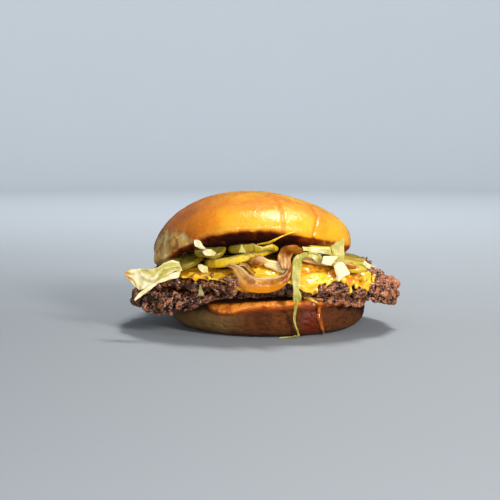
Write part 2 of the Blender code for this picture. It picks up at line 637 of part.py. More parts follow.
def build_gherkin(name, facts, gherkin):
    """A round slice, tipped, leant and bent like a saddle, with one edge that may curl up."""
    (x, y, z), radius, thickness, front_up, right_up, bend, (curl_at, curl_from, curl) = facts
    tip, lean = math.radians(-front_up), math.radians(-right_up)
    count = 18
    plan = ((0.55, -0.5), (0.94, -0.5), (1.0, -0.3), (1.0, 0.3), (0.94, 0.5), (0.55, 0.5))

    def place(share, angle, level):
        wave = 1 + 0.03 * math.cos(3 * angle + x)
        wave += 0.028 * curl * max(0.0, math.cos(angle - math.radians(curl_at))) ** 6
        u, v = share * radius * wave * math.cos(angle), share * radius * wave * math.sin(angle)
        up = level * thickness + bend * ((u / radius) ** 2 - 0.6 * (v / radius) ** 2)
        towards = share * max(0.0, math.cos(angle - math.radians(curl_at))) ** 3
        up += curl * smooth(curl_from, 1.25, towards) * 1.6
        return (
            x + u * math.cos(lean) + up * math.sin(lean),
            y + v * math.cos(tip) - up * math.sin(tip),
            z - u * math.sin(lean) + v * math.sin(tip) + up * math.cos(tip) * math.cos(lean),
        )

    rings = [[place(share, TAU * i / count, level) for i in range(count)] for share, level in plan]
    return turned(name, place(0, 0, -0.5), rings, place(0, 0, 0.5), gherkin, 40)


def build_lettuce(pile_pieces, leaf):
    """Shreds of lettuce laid over the front of the filling, one on another."""
    made = []
    for name, (route, rows, across) in LETTUCE.items():
        pile = surface_of(*pile_pieces, *made)
        grid = drape(ribbon_grid(route, rows, across, 0.5), pile, 1.4)
        piece = slab(name, grid, LEAF_THICKNESS, leaf)
        set_clear(piece, pile, (0, -1, 0))
        made.append(piece)
    return made


def build_back_strips(routes, pile_pieces, thickness, stuff):
    """Strips that lie on the cheese round the back, dropped from just above it."""
    made = []
    for name, route in routes.items():
        pile = surface_of(*pile_pieces, *made)
        samples = spline(route, 7)
        grid = []
        for k, (x, y, width) in enumerate(samples):
            ahead, behind = samples[min(k + 1, 6)], samples[max(k - 1, 0)]
            way = Vector((ahead[0] - behind[0], ahead[1] - behind[1])).normalized()
            row = []
            for share in (-0.5, 0.0, 0.5):
                px, py = x - way.y * width * share, y + way.x * width * share
                hit = pile.ray_cast(Vector((px, py, 60)), Vector((0, 0, -1)))[0]
                rest = (hit.z if hit is not None else 26.0) + thickness + 0.5
                row.append((px, py, rest + 0.4 * math.sin(1.7 * k + 3 * share)))
            grid.append(row)
        piece = slab(name, grid, thickness, stuff)
        set_clear(piece, pile, (0, 0, 1))
        made.append(piece)
    return made


def stand_on_origin(pieces):
    """Moves all pieces so that the middle of their box's underside is the origin."""
    low = [min(v.co[k] for p in pieces for v in p.data.vertices) for k in range(3)]
    high = [max(v.co[k] for p in pieces for v in p.data.vertices) for k in range(3)]
    shift = Vector((-(low[0] + high[0]) / 2, -(low[1] + high[1]) / 2, -low[2]))
    for piece in pieces:
        for vertex in piece.data.vertices:
            vertex.co += shift


def main():
    for old in list(bpy.data.objects):
        bpy.data.objects.remove(old)
    bread = material("crust", (0.72, 0.36, 0.09), 0.35)
    toasted = material("toasted_bread", (0.66, 0.45, 0.24), 0.6)
    meat = material("seared_mince", (0.16, 0.08, 0.05), 0.5)
    melted = material("melted_cheese", (0.90, 0.52, 0.06), 0.25)
    onion = material("soft_onion", (0.80, 0.52, 0.24), 0.35)
    gherkin = material("gherkin", (0.50, 0.47, 0.07), 0.35)
    leaf = material("iceberg_leaf", (0.78, 0.82, 0.48), 0.45)

    heel = build_heel(toasted)
    build_heel_drip(heel, melted)
    lower = build_lower_patty(meat)
    upper = build_upper_patty(lower, meat)
    cheese = build_cheese(upper, melted)
    crown = build_crown(bread)
    stack = [heel, lower, upper, cheese]
    for name, facts in GHERKINS.items():
        piece = build_gherkin(name, facts, gherkin)
        pile = surface_of(*stack)
        for _ in range(SEATING_ROUNDS):
            set_clear(piece, pile, (0, 0, 1), 0.1)
            set_clear(piece, surface_of(crown), (0, -1, 0), 0.1)
        stack.append(piece)
    stack += build_back_strips(BACK_ONION, stack, ONION_THICKNESS, onion)
    stack += build_back_strips(BACK_LETTUCE, stack, LEAF_THICKNESS, leaf)
    stack.append(crown)
    stack += build_onions(stack, onion)
    stack += build_lettuce(stack, leaf)
    stand_on_origin(stack)


main()
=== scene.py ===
"""Smash cheeseburger, dressed for a studio picture.

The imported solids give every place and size. Each class takes the solids of one part of the burger,
builds finer meshes over them and gives them a finish. Lengths in the classes are millimetres and the
meshes are written in metres. +X is right, -Y the front and +Z up. A place called seen is where the
line from the camera meets the upright plane at the burger's front.
"""

from __future__ import annotations

import logging
import math
from collections.abc import Sequence
from dataclasses import dataclass, field, replace
from enum import Enum

import bmesh
import bpy
import numpy as np
from bpy.types import Material, Mesh, Node, NodeSocket, Object
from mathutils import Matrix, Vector
from mathutils.bvhtree import BVHTree


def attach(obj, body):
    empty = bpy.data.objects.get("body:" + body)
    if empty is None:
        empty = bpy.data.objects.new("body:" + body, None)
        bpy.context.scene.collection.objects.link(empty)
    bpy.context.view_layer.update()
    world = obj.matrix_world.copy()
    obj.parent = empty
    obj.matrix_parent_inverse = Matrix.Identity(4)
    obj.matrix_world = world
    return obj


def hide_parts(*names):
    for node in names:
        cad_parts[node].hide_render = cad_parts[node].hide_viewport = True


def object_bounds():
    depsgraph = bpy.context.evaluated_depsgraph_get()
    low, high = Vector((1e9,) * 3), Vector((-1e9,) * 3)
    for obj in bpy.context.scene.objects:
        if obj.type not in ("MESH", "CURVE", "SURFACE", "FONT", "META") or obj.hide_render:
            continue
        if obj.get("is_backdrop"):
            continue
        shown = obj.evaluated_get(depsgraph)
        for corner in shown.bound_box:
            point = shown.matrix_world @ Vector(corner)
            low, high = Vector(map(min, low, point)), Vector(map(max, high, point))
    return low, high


Array = np.ndarray
Colour = tuple[float, float, float]
Noise = tuple[float, int, float]  # the width of a lump, which noise, and its height
Rung = tuple[float, float, float, float]  # both ends of a line across a strip, as seen
Path = tuple[tuple[float, float], ...]
Triples = tuple[tuple[float, float, float], ...]
Fives = tuple[tuple[float, float, float, float, float], ...]

MM = 0.001
TAU = 2 * math.pi
WELD = 0.001  # millimetres within which two corners are one
EDGE_ROOM = 0.02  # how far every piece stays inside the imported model's box
BODY = "root"
EYE = np.array((-7.66, -611.9, 109.0))  # where the camera stands
EYE_PITCH = 6.6  # degrees below level
LENS = 84.9
SENSOR = 36.0
FRONT_PLANE = -50.0  # the upright plane, in y, on which seen places are given
# The parts of a sight line on which a twig and a lump of mince look for the burger.
TWIG_RANGE = (540.0, 660.0)
LOBE_RANGE = (530.0, 640.0)

log = logging.getLogger("burger")


class Slot(Enum):
    """Material slots."""

    CRUST = "crust"
    BREAD = "toasted_bread"
    MINCE = "seared_mince"
    CHEESE = "melted_cheese"
    ONION = "soft_onion"
    GHERKIN = "gherkin"
    LEAF = "iceberg_leaf"


# Numbers and noise


def smooth(low: float, high: float, value: Array) -> Array:
    """An S curve that is 0 at low and 1 at high.

    Args:
        low: Where the curve leaves 0; it may be above high.
        high: Where the curve reaches 1.
        value: The values to map.

    Returns:
        The mapped values.
    """
    t = np.clip((value - low) / (high - low), 0.0, 1.0)
    return t * t * (3 - 2 * t)


def bell(value: Array, centre: float, half_width: float) -> Array:
    """A smooth bump that is 1 at the centre."""
    return np.exp(-(((value - centre) / half_width) ** 2))


def angle_bell(degrees: Array, direction: float, half_width: float) -> Array:
    """A smooth bump round one direction, in degrees."""
    return bell((degrees - direction + 180) % 360 - 180, 0.0, half_width)


def sphere_directions(count: int) -> Array:
    """Evenly spread unit vectors.

    Args:
        count: How many.

    Returns:
        The vectors, one to a row.
    """
    i = np.arange(count) + 0.5
    z = 1 - 2 * i / count
    turn = math.pi * (1 + math.sqrt(5)) * i
    flat = np.sqrt(1 - z * z)
    return np.stack((flat * np.cos(turn), flat * np.sin(turn), z), 1)


GRADIENTS = sphere_directions(128)


def scrambled(cells: Array, seed: int) -> Array:
    """Repeatable random numbers from 0 to 1, one for each whole-number cell.

    Args:
        cells: Whole numbers, three to a cell.
        seed: Which set of random numbers.

    Returns:
        One number to a cell.
    """
    x, y, z = (cells[..., k].astype(np.uint32) for k in range(3))
    h = x * np.uint32(73856093) ^ y * np.uint32(19349663) ^ z * np.uint32(83492791)
    h = h ^ np.uint32((seed * 2654435761 + 97) % 2**32)
    for shift, factor in ((16, 0x7FEB352D), (15, 0x846CA68B)):
        h = (h ^ (h >> np.uint32(shift))) * np.uint32(factor)
    return (h ^ (h >> np.uint32(16))) / float(2**32)


def cloud(points: Array, size: float, seed: int = 0) -> Array:
    """Smooth noise from about -1 to 1 whose lumps are about size across.

    Args:
        points: Places, in millimetres.
        size: The width of a lump.
        seed: Which noise.

    Returns:
        One value to a place.
    """
    place = points / size
    base = np.floor(place).astype(np.int64)
    rest = place - base
    ease = rest**3 * (rest * (rest * 6 - 15) + 10)
    total = np.zeros(len(points))
    for corner in np.ndindex(2, 2, 2):
        step = np.array(corner)
        slope = GRADIENTS[(scrambled(base + step, seed) * len(GRADIENTS)).astype(int)]
        weight = np.prod(np.where(step == 1, ease, 1 - ease), axis=1)
        total += weight * np.einsum("ij,ij->i", slope, rest - step)
    return total * 1.6


def clouds(points: Array, layers: Sequence[Noise]) -> Array:
    """A sum of noises, each with its own size, seed and height."""
    return sum(height * cloud(points, size, seed) for size, seed, height in layers)


def knobs(points: Array, size: float, seed: int = 0) -> tuple[Array, Array]:
    """Rounded knobs that meet in creases, and a random number for each knob.

    Args:
        points: Places, in millimetres.
        size: The width of a knob.
        seed: Which pattern.

    Returns:
        Heights, about 0.5 on a knob's middle and down to -0.4 in a crease, and the random numbers.
    """
    place = points / size
    base = np.floor(place).astype(np.int64)
    nearest = np.full(len(points), 9.0)
    number = np.zeros(len(points))
    for step in np.ndindex(3, 3, 3):
        cell = base + np.array(step) - 1
        seat = cell + np.stack([scrambled(cell, seed * 7 + k) for k in range(3)], 1)
        away = np.linalg.norm(seat - place, axis=1)
        closer = away < nearest
        nearest = np.where(closer, away, nearest)
        number = np.where(closer, scrambled(cell, seed * 7 + 5), number)
    return 0.55 - nearest, number


def polar(points: Array, centre: Sequence[float] = (0.0, 0.0)) -> tuple[Array, Array]:
    """Directions round a centre, in degrees, and distances from it, both seen from above."""
    x, y = points[:, 0] - centre[0], points[:, 1] - centre[1]
    return np.degrees(np.arctan2(y, x)) % 360, np.hypot(x, y)


def rim_of(degrees: Array, reach: Array, sectors: int) -> Array:
    """The greatest reach in each of a number of even sectors.

    Args:
        degrees: Directions from the middle.
        reach: Distances from it.
        sectors: How many sectors.

    Returns:
        One reach to a sector.
    """
    rims = np.zeros(sectors)
    np.maximum.at(rims, (degrees // (360 / sectors)).astype(int), reach)
    return rims


def rim_at(degrees: Array, rims: Array) -> Array:
    """The rim's reach in any direction, from its reach in each sector."""
    return np.interp(degrees, (np.arange(len(rims)) + 0.5) * 360 / len(rims), rims, period=360)


def tapered(run: Array, steepness: float, start: float = 0.0, end: float = 1.0) -> Array:
    """A share that is 1 along a strip and falls to 0, rounded, at its start and end."""
    return np.clip(np.minimum(run - start, end - run) * steepness, 0, 1) ** 0.5


def ease(grid: Array) -> None:
    """Draws a grid's inner values halfway to their neighbours' along each way."""
    grid[1:-1] = 0.5 * grid[1:-1] + 0.25 * (grid[:-2] + grid[2:])
    grid[:, 1:-1] = 0.5 * grid[:, 1:-1] + 0.25 * (grid[:, :-2] + grid[:, 2:])


def seen(points: Array) -> Array:
    """Where the camera sees each place on the front plane, as (x, z)."""
    reach = (FRONT_PLANE - EYE[1]) / (points[:, 1] - EYE[1])
    return np.stack([EYE[k] + (points[:, k] - EYE[k]) * reach for k in (0, 2)], 1)


def sight_lines(places: Array) -> Array:
    """Unit vectors from the camera to places seen on the front plane.

    Args:
        places: Places as (x, z), in any number of rows.

    Returns:
        One unit vector to a place.
    """
    front = np.full(places.shape[:-1], FRONT_PLANE)
    ways = np.stack((places[..., 0], front, places[..., 1]), -1) - EYE
    return ways / np.linalg.norm(ways, axis=-1, keepdims=True)


def along_sight(x: float, z: float, near: float, far: float) -> Array:
    """Points a millimetre apart on the sight line of a seen place, between two distances."""
    return EYE + sight_lines(np.array((x, z))) * np.linspace(near, far, int(far - near) + 1)[:, None]


def path_distance(places: Array, path: Path) -> Array:
    """The distance of flat places from a path of straight runs.

    Args:
        places: Places as (x, z).
        path: The path's corners.

    Returns:
        One distance to a place.
    """
    best = np.full(len(places), math.inf)
    for start, end in zip(np.array(path[:-1]), np.array(path[1:])):
        run = end - start
        share = np.clip((places - start) @ run / (run @ run), 0, 1)
        best = np.minimum(best, np.linalg.norm(places - start - share[:, None] * run, axis=1))
    return best


def spline(points: Sequence[Sequence[float]], count: int) -> Array:
    """Even samples of a smooth curve through points of any dimension.

    Args:
        points: What the curve passes through.
        count: How many samples.

    Returns:
        The samples, one to a row.
    """
    known = np.array([points[0], *points, points[-1]], float)
    place = np.linspace(0, len(points) - 1, count)
    i = np.minimum(place.astype(int), len(points) - 2)
    t = (place - i)[:, None]
    a, b, c, d = (known[i + k] for k in range(4))
    return b + 0.5 * t * (c - a + t * (2 * a - 5 * b + 4 * c - d + t * (3 * (b - c) + d - a)))


# Meshes


class Form:
    """A mesh piece while it is made, with its points as arrays in millimetres."""

    def __init__(self, name: str, points: Array, faces: Sequence[Sequence[int]] | Array) -> None:
        """Makes the piece.

        Args:
            name: The object's name.
            points: Corners, in millimetres.
            faces: Corner numbers of each face.
        """
        mesh = bpy.data.meshes.new(name)
        mesh.from_pydata((points * MM).tolist(), [], [list(map(int, face)) for face in faces])
        mesh.validate()
        self.object = bpy.data.objects.new(name, mesh)
        bpy.context.scene.collection.objects.link(self.object)

    @classmethod
    def from_node(cls, node: str, name: str = "") -> Form:
        """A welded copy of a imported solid."""
        points, faces = node_arrays(node)
        return cls(name or f"{node}_dressed", points, faces)

    @property
    def mesh(self) -> Mesh:
        """The piece's mesh."""
        return self.object.data

    def _read(self, name: str) -> Array:
        """A three-number value of every corner.

        Args:
            name: What Blender calls the value.

        Returns:
            One row to a corner.
        """
        values = np.zeros(len(self.mesh.vertices) * 3, np.float32)
        self.mesh.vertices.foreach_get(name, values)
        return values.reshape(-1, 3).astype(float)

    @property
    def points(self) -> Array:
        """The corners, in millimetres."""
        return self._read("co") / MM

    @property
    def normals(self) -> Array:
        """The corners' outward directions."""
        return self._read("normal")

    def put(self, points: Array) -> Form:
        """Moves the corners to new places, in millimetres.

        Args:
            points: One place to a corner.

        Returns:
            The piece.
        """
        self.mesh.vertices.foreach_set("co", (points * MM).astype(np.float32).ravel())
        self.mesh.update()
        return self

    def swell(self, heights: Array | float) -> Form:
        """Moves each corner outwards by its height."""
        return self.put(self.points + self.normals * np.reshape(heights, (-1, 1)))

    def keep(self, name: str, values: Array) -> Form:
        """Stores one number for each corner, which a finish reads by name.

        Args:
            name: The number's name.
            values: One number to a corner.

        Returns:
            The piece.
        """
        layer = self.mesh.attributes.get(name) or self.mesh.attributes.new(name, "FLOAT", "POINT")
        layer.data.foreach_set("value", np.asarray(values, np.float32))
        return self

    def kept(self, name: str) -> Array:
        """One number for each corner that keep stored.

        Args:
            name: The number's name.

        Returns:
            The numbers.
        """
        values = np.zeros(len(self.mesh.vertices), np.float32)
        self.mesh.attributes[name].data.foreach_get("value", values)
        return values.astype(float)

    def modified(self, kind: str, **settings: object) -> Form:
        """Applies one of Blender's modifiers.

        Args:
            kind: What Blender calls it.
            settings: Its settings.

        Returns:
            The piece.
        """
        tool = self.object.modifiers.new(kind, kind)
        for name, value in settings.items():
            setattr(tool, name, value)
        graph = bpy.context.evaluated_depsgraph_get()
        graph.update()
        shaped = self.object.evaluated_get(graph)
        mesh = bpy.data.meshes.new_from_object(shaped, preserve_all_data_layers=True, depsgraph=graph)
        self.object.modifiers.clear()
        old = self.object.data
        self.object.data = mesh
        bpy.data.meshes.remove(old)
        return self

    def voxels(self, size: float) -> Form:
        """Rebuilds the skin from cubes of a size, which joins what overlaps."""
        return self.modified("REMESH", mode="VOXEL", voxel_size=size * MM)

    def relax(self, rounds: int) -> Form:
        """Evens out the surface."""
        return self.modified("SMOOTH", iterations=rounds, factor=0.5)

    def refine(self, levels: int) -> Form:
        """Splits every face smoothly."""
        return self.modified("SUBSURF", levels=levels, render_levels=levels)

    def thin_out(self, hidden: Array, ratio: float) -> Form:
        """Merges faces where nothing is seen of them.

        Args:
            hidden: Which corners nothing is seen of.
            ratio: The share of the faces that is left.

        Returns:
            The piece.
        """
        group = self.object.vertex_groups.new(name="hidden")
        group.add(np.flatnonzero(hidden).tolist(), 1.0, "REPLACE")
        self.modified("DECIMATE", ratio=ratio, vertex_group=group.name)
        self.object.vertex_groups.clear()
        return self

    def quads(self, flat: float = 40.0, sharp: float = 50.0) -> Form:
        """Joins triangles into quads and holds the sharp edges.

        Args:
            flat: The angle, in degrees, up to which faces are joined.
            sharp: The angle, in degrees, past which an edge is held.

        Returns:
            The piece.
        """
        shape = bmesh.new()
        shape.from_mesh(self.mesh)
        limit = math.radians(flat)
        bmesh.ops.join_triangles(
            shape, faces=shape.faces, angle_face_threshold=limit, angle_shape_threshold=limit * 2
        )
        held = shape.edges.layers.float.get("crease_edge") or shape.edges.layers.float.new("crease_edge")
        for edge in shape.edges:
            if len(edge.link_faces) == 2 and edge.calc_face_angle() > math.radians(sharp):
                edge[held] = 1.0
        shape.to_mesh(self.mesh)
        shape.free()
        return self

    def hollows(self, rounds: int, depth: float) -> Array:
        """How far each corner lies below its surroundings, from -1 to 1.

        Args:
            rounds: How wide the surroundings are.
            depth: The depth, in millimetres, that counts as 1.

        Returns:
            One value to a corner, above 0 in a hollow.
        """
        points, normals = self.points, self.normals
        edges = np.zeros(len(self.mesh.edges) * 2, np.int32)
        self.mesh.edges.foreach_get("vertices", edges)
        a, b = edges.reshape(-1, 2).T
        count = len(points)
        degree = np.bincount(a, minlength=count) + np.bincount(b, minlength=count)
        eased = points.copy()
        for _ in range(rounds):
            near = [np.bincount(a, eased[b, k], count) + np.bincount(b, eased[a, k], count) for k in range(3)]
            eased = np.stack(near, 1) / np.maximum(degree, 1)[:, None]
        return np.clip(np.einsum("ij,ij->i", eased - points, normals) / depth, -1, 1)

    def fit_box(self) -> Form:
        """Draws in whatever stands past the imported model's box.

        Returns:
            The piece.
        """
        points = self.points
        for axis in range(3):
            low, high = (corner[axis] / MM for corner in cad_box)
            middle = (low + high) / 2
            for edge, side in ((low, -1), (high, 1)):
                reach = ((points[:, axis] - middle) * side).max()
                room = (edge - middle) * side - EDGE_ROOM
                if reach > room:
                    outer = (points[:, axis] - middle) * side > 0
                    points[outer, axis] = middle + (points[outer, axis] - middle) * room / reach
        return self.put(points)

    def dress(self, finish: Finish, *nodes: str) -> Object:
        """Gives the piece its finish and ties it to the frame.

        Args:
            finish: What the piece is made of.
            nodes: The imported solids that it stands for.

        Returns:
            The finished object.
        """
        self.fit_box()
        self.mesh.materials.clear()
        self.mesh.materials.append(finish.material())
        self.mesh.shade_smooth()
        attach(self.object, BODY)
        if nodes:
            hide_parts(*nodes)
        log.info("%s: %d faces", self.object.name, len(self.mesh.polygons))
        return self.object


def node_arrays(node: str) -> tuple[Array, Array]:
    """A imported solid's welded corners and its triangles.

    Args:
        node: The solid's name.

    Returns:
        Corners, in millimetres, and triangles.
    """
    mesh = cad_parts[node].data
    raw = np.zeros(len(mesh.vertices) * 3, np.float32)
    mesh.vertices.foreach_get("co", raw)
    raw = raw.reshape(-1, 3).astype(float) / MM
    _, first, number = np.unique(
        np.round(raw / WELD).astype(np.int64), axis=0, return_index=True, return_inverse=True
    )
    corners = np.zeros(len(mesh.loops), np.int32)
    mesh.loops.foreach_get("vertex_index", corners)
    faces = number.reshape(-1)[corners].reshape(-1, 3)
    whole = (faces[:, 0] != faces[:, 1]) & (faces[:, 1] != faces[:, 2]) & (faces[:, 0] != faces[:, 2])
    return raw[first], faces[whole]


def tree_of(node: str) -> BVHTree:
    """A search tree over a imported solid, in metres."""
    points, faces = node_arrays(node)
    return BVHTree.FromPolygons((points * MM).tolist(), faces.tolist())


class Ground:
    """Finished pieces that others are laid over."""

    def __init__(self) -> None:
        """Starts with nothing."""
        self.trees: list[BVHTree] = []

    def add(self, *pieces: Object) -> None:
        """Takes in finished pieces.

        Args:
            pieces: What others may then lie on.
        """
        graph = bpy.context.evaluated_depsgraph_get()
        graph.update()
        self.trees += [BVHTree.FromObject(piece, graph) for piece in pieces]

    def depths(self, places: Array) -> Array:
        """How far along its sight line each seen place is covered, in millimetres.

        Args:
            places: Places as (x, z), in any number of rows.

        Returns:
            The distances from the camera, which are infinite where nothing is met.
        """
        eye = Vector(EYE) * MM
        ways = sight_lines(places).reshape(-1, 3)
        best = [
            min((hit[3] / MM for hit in (tree.ray_cast(eye, Vector(way)) for tree in self.trees) if hit[0]),
                default=math.inf)
            for way in ways
        ]
        return np.array(best).reshape(places.shape[:-1])

    def beside(self, x: float, z: float) -> Array:
        """The point of a sight line that comes nearest to a surface, drawn halfway to it.

        Args:
            x: The seen place.
            z: Its height.

        Returns:
            The point.
        """
        line = along_sight(x, z, *TWIG_RANGE)
        found = [tree.find_nearest(Vector(point) * MM) for point in line for tree in self.trees]
        best = min(range(len(found)), key=lambda k: found[k][3])
        return (line[best // len(self.trees)] + np.array(found[best][0]) / MM) / 2


def filled(values: Array) -> Array:
    """Values with each gap filled from its neighbours in flat order.

    Args:
        values: A grid that isn't finite in its gaps.

    Returns:
        The filled grid.
    """
    flat = values.reshape(-1)
    known = np.flatnonzero(np.isfinite(flat))
    return np.interp(np.arange(len(flat)), known, flat[known]).reshape(values.shape)


def slab(front: Array, back: Array) -> tuple[Array, list[list[int]]]:
    """A closed sheet between two grids of points.

    Args:
        front: Points as (rows, columns, 3).
        back: The same on the other side.

    Returns:
        Corners and faces.
    """
    rows, columns, _ = front.shape
    size = rows * columns
    faces = []
    for r in range(rows - 1):
        for c in range(columns - 1):
            a, b = r * columns + c, (r + 1) * columns + c
            faces += [[a, a + 1, b + 1, b], [size + a, size + b, size + b + 1, size + a + 1]]
    rim = list(range(columns)) + [r * columns + columns - 1 for r in range(1, rows)]
    rim += [size - columns + c for c in range(columns - 2, -1, -1)]
    rim += [r * columns for r in range(rows - 2, 0, -1)]
    faces += [[b, a, size + a, size + b] for a, b in zip(rim, rim[1:] + rim[:1])]
    return np.concatenate((front.reshape(-1, 3), back.reshape(-1, 3))), faces


def ball(levels: int) -> tuple[Array, Array]:
    """A unit ball's corners and triangles.

    Args:
        levels: How often its faces are split.

    Returns:
        Corners and triangles.
    """
    shape = bmesh.new()
    bmesh.ops.create_icosphere(shape, subdivisions=levels, radius=1.0)
    shape.verts.ensure_lookup_table()
    points = np.array([v.co[:] for v in shape.verts])
    faces = np.array([[v.index for v in f.verts] for f in shape.faces])
    shape.free()
    return points, faces


def spun(draw: np.random.Generator, count: int) -> Array:
    """Random rotations.

    Args:
        draw: Where they come from.
        count: How many.

    Returns:
        One matrix to a rotation.
    """
    q = draw.normal(size=(count, 4))
    w, x, y, z = (q / np.linalg.norm(q, axis=1, keepdims=True)).T
    rows = (
        (1 - 2 * (y * y + z * z), 2 * (x * y - w * z), 2 * (x * z + w * y)),
        (2 * (x * y + w * z), 1 - 2 * (x * x + z * z), 2 * (y * z - w * x)),
        (2 * (x * z - w * y), 2 * (y * z + w * x), 1 - 2 * (x * x + y * y)),
    )
    return np.array(rows).transpose(2, 0, 1)


def crowd(centres: Array, sizes: Array, draw: np.random.Generator, levels: int = 2) -> tuple[Array, Array]:
    """Many lumps as one set of corners and triangles.

    Args:
        centres: The middle of each lump.
        sizes: Three half lengths for each lump.
        draw: Where the random turns come from.
        levels: How finely each lump is made.

    Returns:
        Corners and triangles.
    """
    unit, faces = ball(levels)
    turned = np.einsum("nij,nkj->nki", spun(draw, len(centres)), unit[None] * sizes[:, None, :])
    points = (turned + centres[:, None, :]).reshape(-1, 3)
    shifts = np.arange(len(centres))[:, None, None] * len(unit)
    return points, (faces[None] + shifts).reshape(-1, 3)


def joined(sets: Sequence[tuple[Array, Array]]) -> tuple[Array, Array]:
    """Several sets of corners and triangles as one.

    Args:
        sets: Corners and triangles of each.

    Returns:
        Corners and triangles.
    """
    shifts = np.cumsum([0] + [len(points) for points, _ in sets[:-1]])
    faces = [triangles + shift for (_, triangles), shift in zip(sets, shifts)]
    return np.concatenate([points for points, _ in sets]), np.concatenate(faces)


# Finishes


def tint(red: float, green: float, blue: float) -> Colour:
    """A colour given as screen values from 0 to 255, as light."""
    return tuple(((v / 255 + 0.055) / 1.055) ** 2.4 if v > 10 else v / 3295 for v in (red, green, blue))


class Graph:
    """Short calls for the nodes of one material."""

    def __init__(self, name: str) -> None:
        """Starts a material.

        Args:
            name: The material's name.
        """
        self.material = bpy.data.materials.new(name)
        self.material.use_nodes = True
        self.tree = self.material.node_tree
        self.shader = self.tree.nodes["Principled BSDF"]
        self.place = self.tree.nodes.new("ShaderNodeTexCoord").outputs["Object"]

    def join(self, value: object, socket: NodeSocket) -> None:
        """Wires a socket, or sets a plain value.

        Args:
            value: A socket to wire from, or a value.
            socket: What is wired or set.
        """
        if isinstance(value, NodeSocket):
            self.tree.links.new(value, socket)
        elif isinstance(value, tuple) and len(value) == 3 and socket.type == "RGBA":
            socket.default_value = (*value, 1.0)
        else:
            socket.default_value = value

    def made(self, kind: str, given: dict[int | str, object], **settings: object) -> Node:
        """A new node.

        Args:
            kind: What Blender calls it.
            given: What its inputs are wired or set to, by name or number.
            settings: Its own settings.

        Returns:
            The node.
        """
        node = self.tree.nodes.new(f"ShaderNode{kind}")
        for name, value in settings.items():
            setattr(node, name, value)
        for name, value in given.items():
            self.join(value, node.inputs[name])
        return node

    def kept(self, name: str) -> NodeSocket:
        """The number that Form.keep stored under a name."""
        return self.made("Attribute", {}, attribute_name=name).outputs["Fac"]

    def stretched(self, scale: tuple[float, float, float]) -> NodeSocket:
        """The place, scaled along each axis."""
        return self.made("VectorMath", {0: self.place, 1: scale}, operation="MULTIPLY").outputs[0]

    def noise(
        self, size: float, detail: float = 3.0, warp: float = 0.0,
        scale: tuple[float, float, float] | None = None,
    ) -> NodeSocket:
        """Noise from 0 to 1 with lumps about size millimetres across.

        Args:
            size: The width of a lump.
            detail: How many finer layers it has.
            warp: How much it is distorted.
            scale: A factor for each axis, to draw it out.

        Returns:
            The noise's value.
        """
        place = self.stretched(scale) if scale else self.place
        given = {"Scale": 1 / (size * MM), "Detail": detail, "Distortion": warp, "Vector": place}
        return self.made("TexNoise", given).outputs["Fac"]

    def dots(self, size: float) -> NodeSocket:
        """The distance from the nearest of many scattered spots, as a share of how far apart they are."""
        given = {"Scale": 1 / (size * MM), "Vector": self.place}
        return self.made("TexVoronoi", given).outputs["Distance"]

    def spread(
        self, value: object, low: float, high: float, to_low: float = 0.0, to_high: float = 1.0
    ) -> NodeSocket:
        """Maps the range from low to high to another one, held at its ends."""
        given = dict(enumerate((value, low, high, to_low, to_high)))
        return self.made("MapRange", given, interpolation_type="SMOOTHSTEP").outputs[0]

    def maths(self, operation: str, first: object, second: object) -> NodeSocket:
        """A sum, product or the like of two numbers."""
        return self.made("Math", {0: first, 1: second}, operation=operation).outputs[0]

    def blend(self, share: object, low: object, high: object) -> NodeSocket:
        """A colour between two, whose sockets are numbers 6 and 7."""
        return self.made("Mix", {0: share, 6: low, 7: high}, data_type="RGBA").outputs[2]

    def ramp(self, value: object, stops: Sequence[tuple[float, Colour]]) -> NodeSocket:
        """A colour read off a row of stops.

        Args:
            value: The place in the row.
            stops: Positions, from 0 to 1, and colours.

        Returns:
            The colour.
        """
        node = self.made("ValToRGB", {0: value})
        row = node.color_ramp.elements
        while len(row) < len(stops):
            row.new(0.5)
        for element, (position, colour) in zip(row, stops):
            element.position = position
            element.color = (*colour, 1.0)
        return node.outputs[0]

    def relief(self, *layers: tuple[object, float]) -> None:
        """Gives the skin fine relief.

        Args:
            layers: Pairs of a height, from 0 to 1, and the depth, in millimetres, that it stands for.
        """
        below = {}
        for height, depth in layers:
            node = self.made("Bump", {"Distance": depth * MM, "Height": height, **below})
            below = {"Normal": node.outputs[0]}
        self.join(below["Normal"], self.shader.inputs["Normal"])

    def finish(self, **values: object) -> Material:
        """Sets the shader's values.

        Args:
            values: The shader's inputs by name, with _ for a space.

        Returns:
            The material.
        """
        for name, value in values.items():
            self.join(value, self.shader.inputs[name.replace("_", " ")])
        return self.material


@dataclass(frozen=True)
class Finish:
    """What a piece is made of."""

    slot: Slot = Slot.CRUST

    def material(self) -> Material:
        """The material, made once.

        Returns:
            The material.
        """
        name = type(self).__name__
        if name not in bpy.data.materials:
            self.make(Graph(name))
        return bpy.data.materials[name]

    def make(self, graph: Graph) -> None:
        """Builds the material's nodes.

        Args:
            graph: The material that is being made.
        """
        raise NotImplementedError


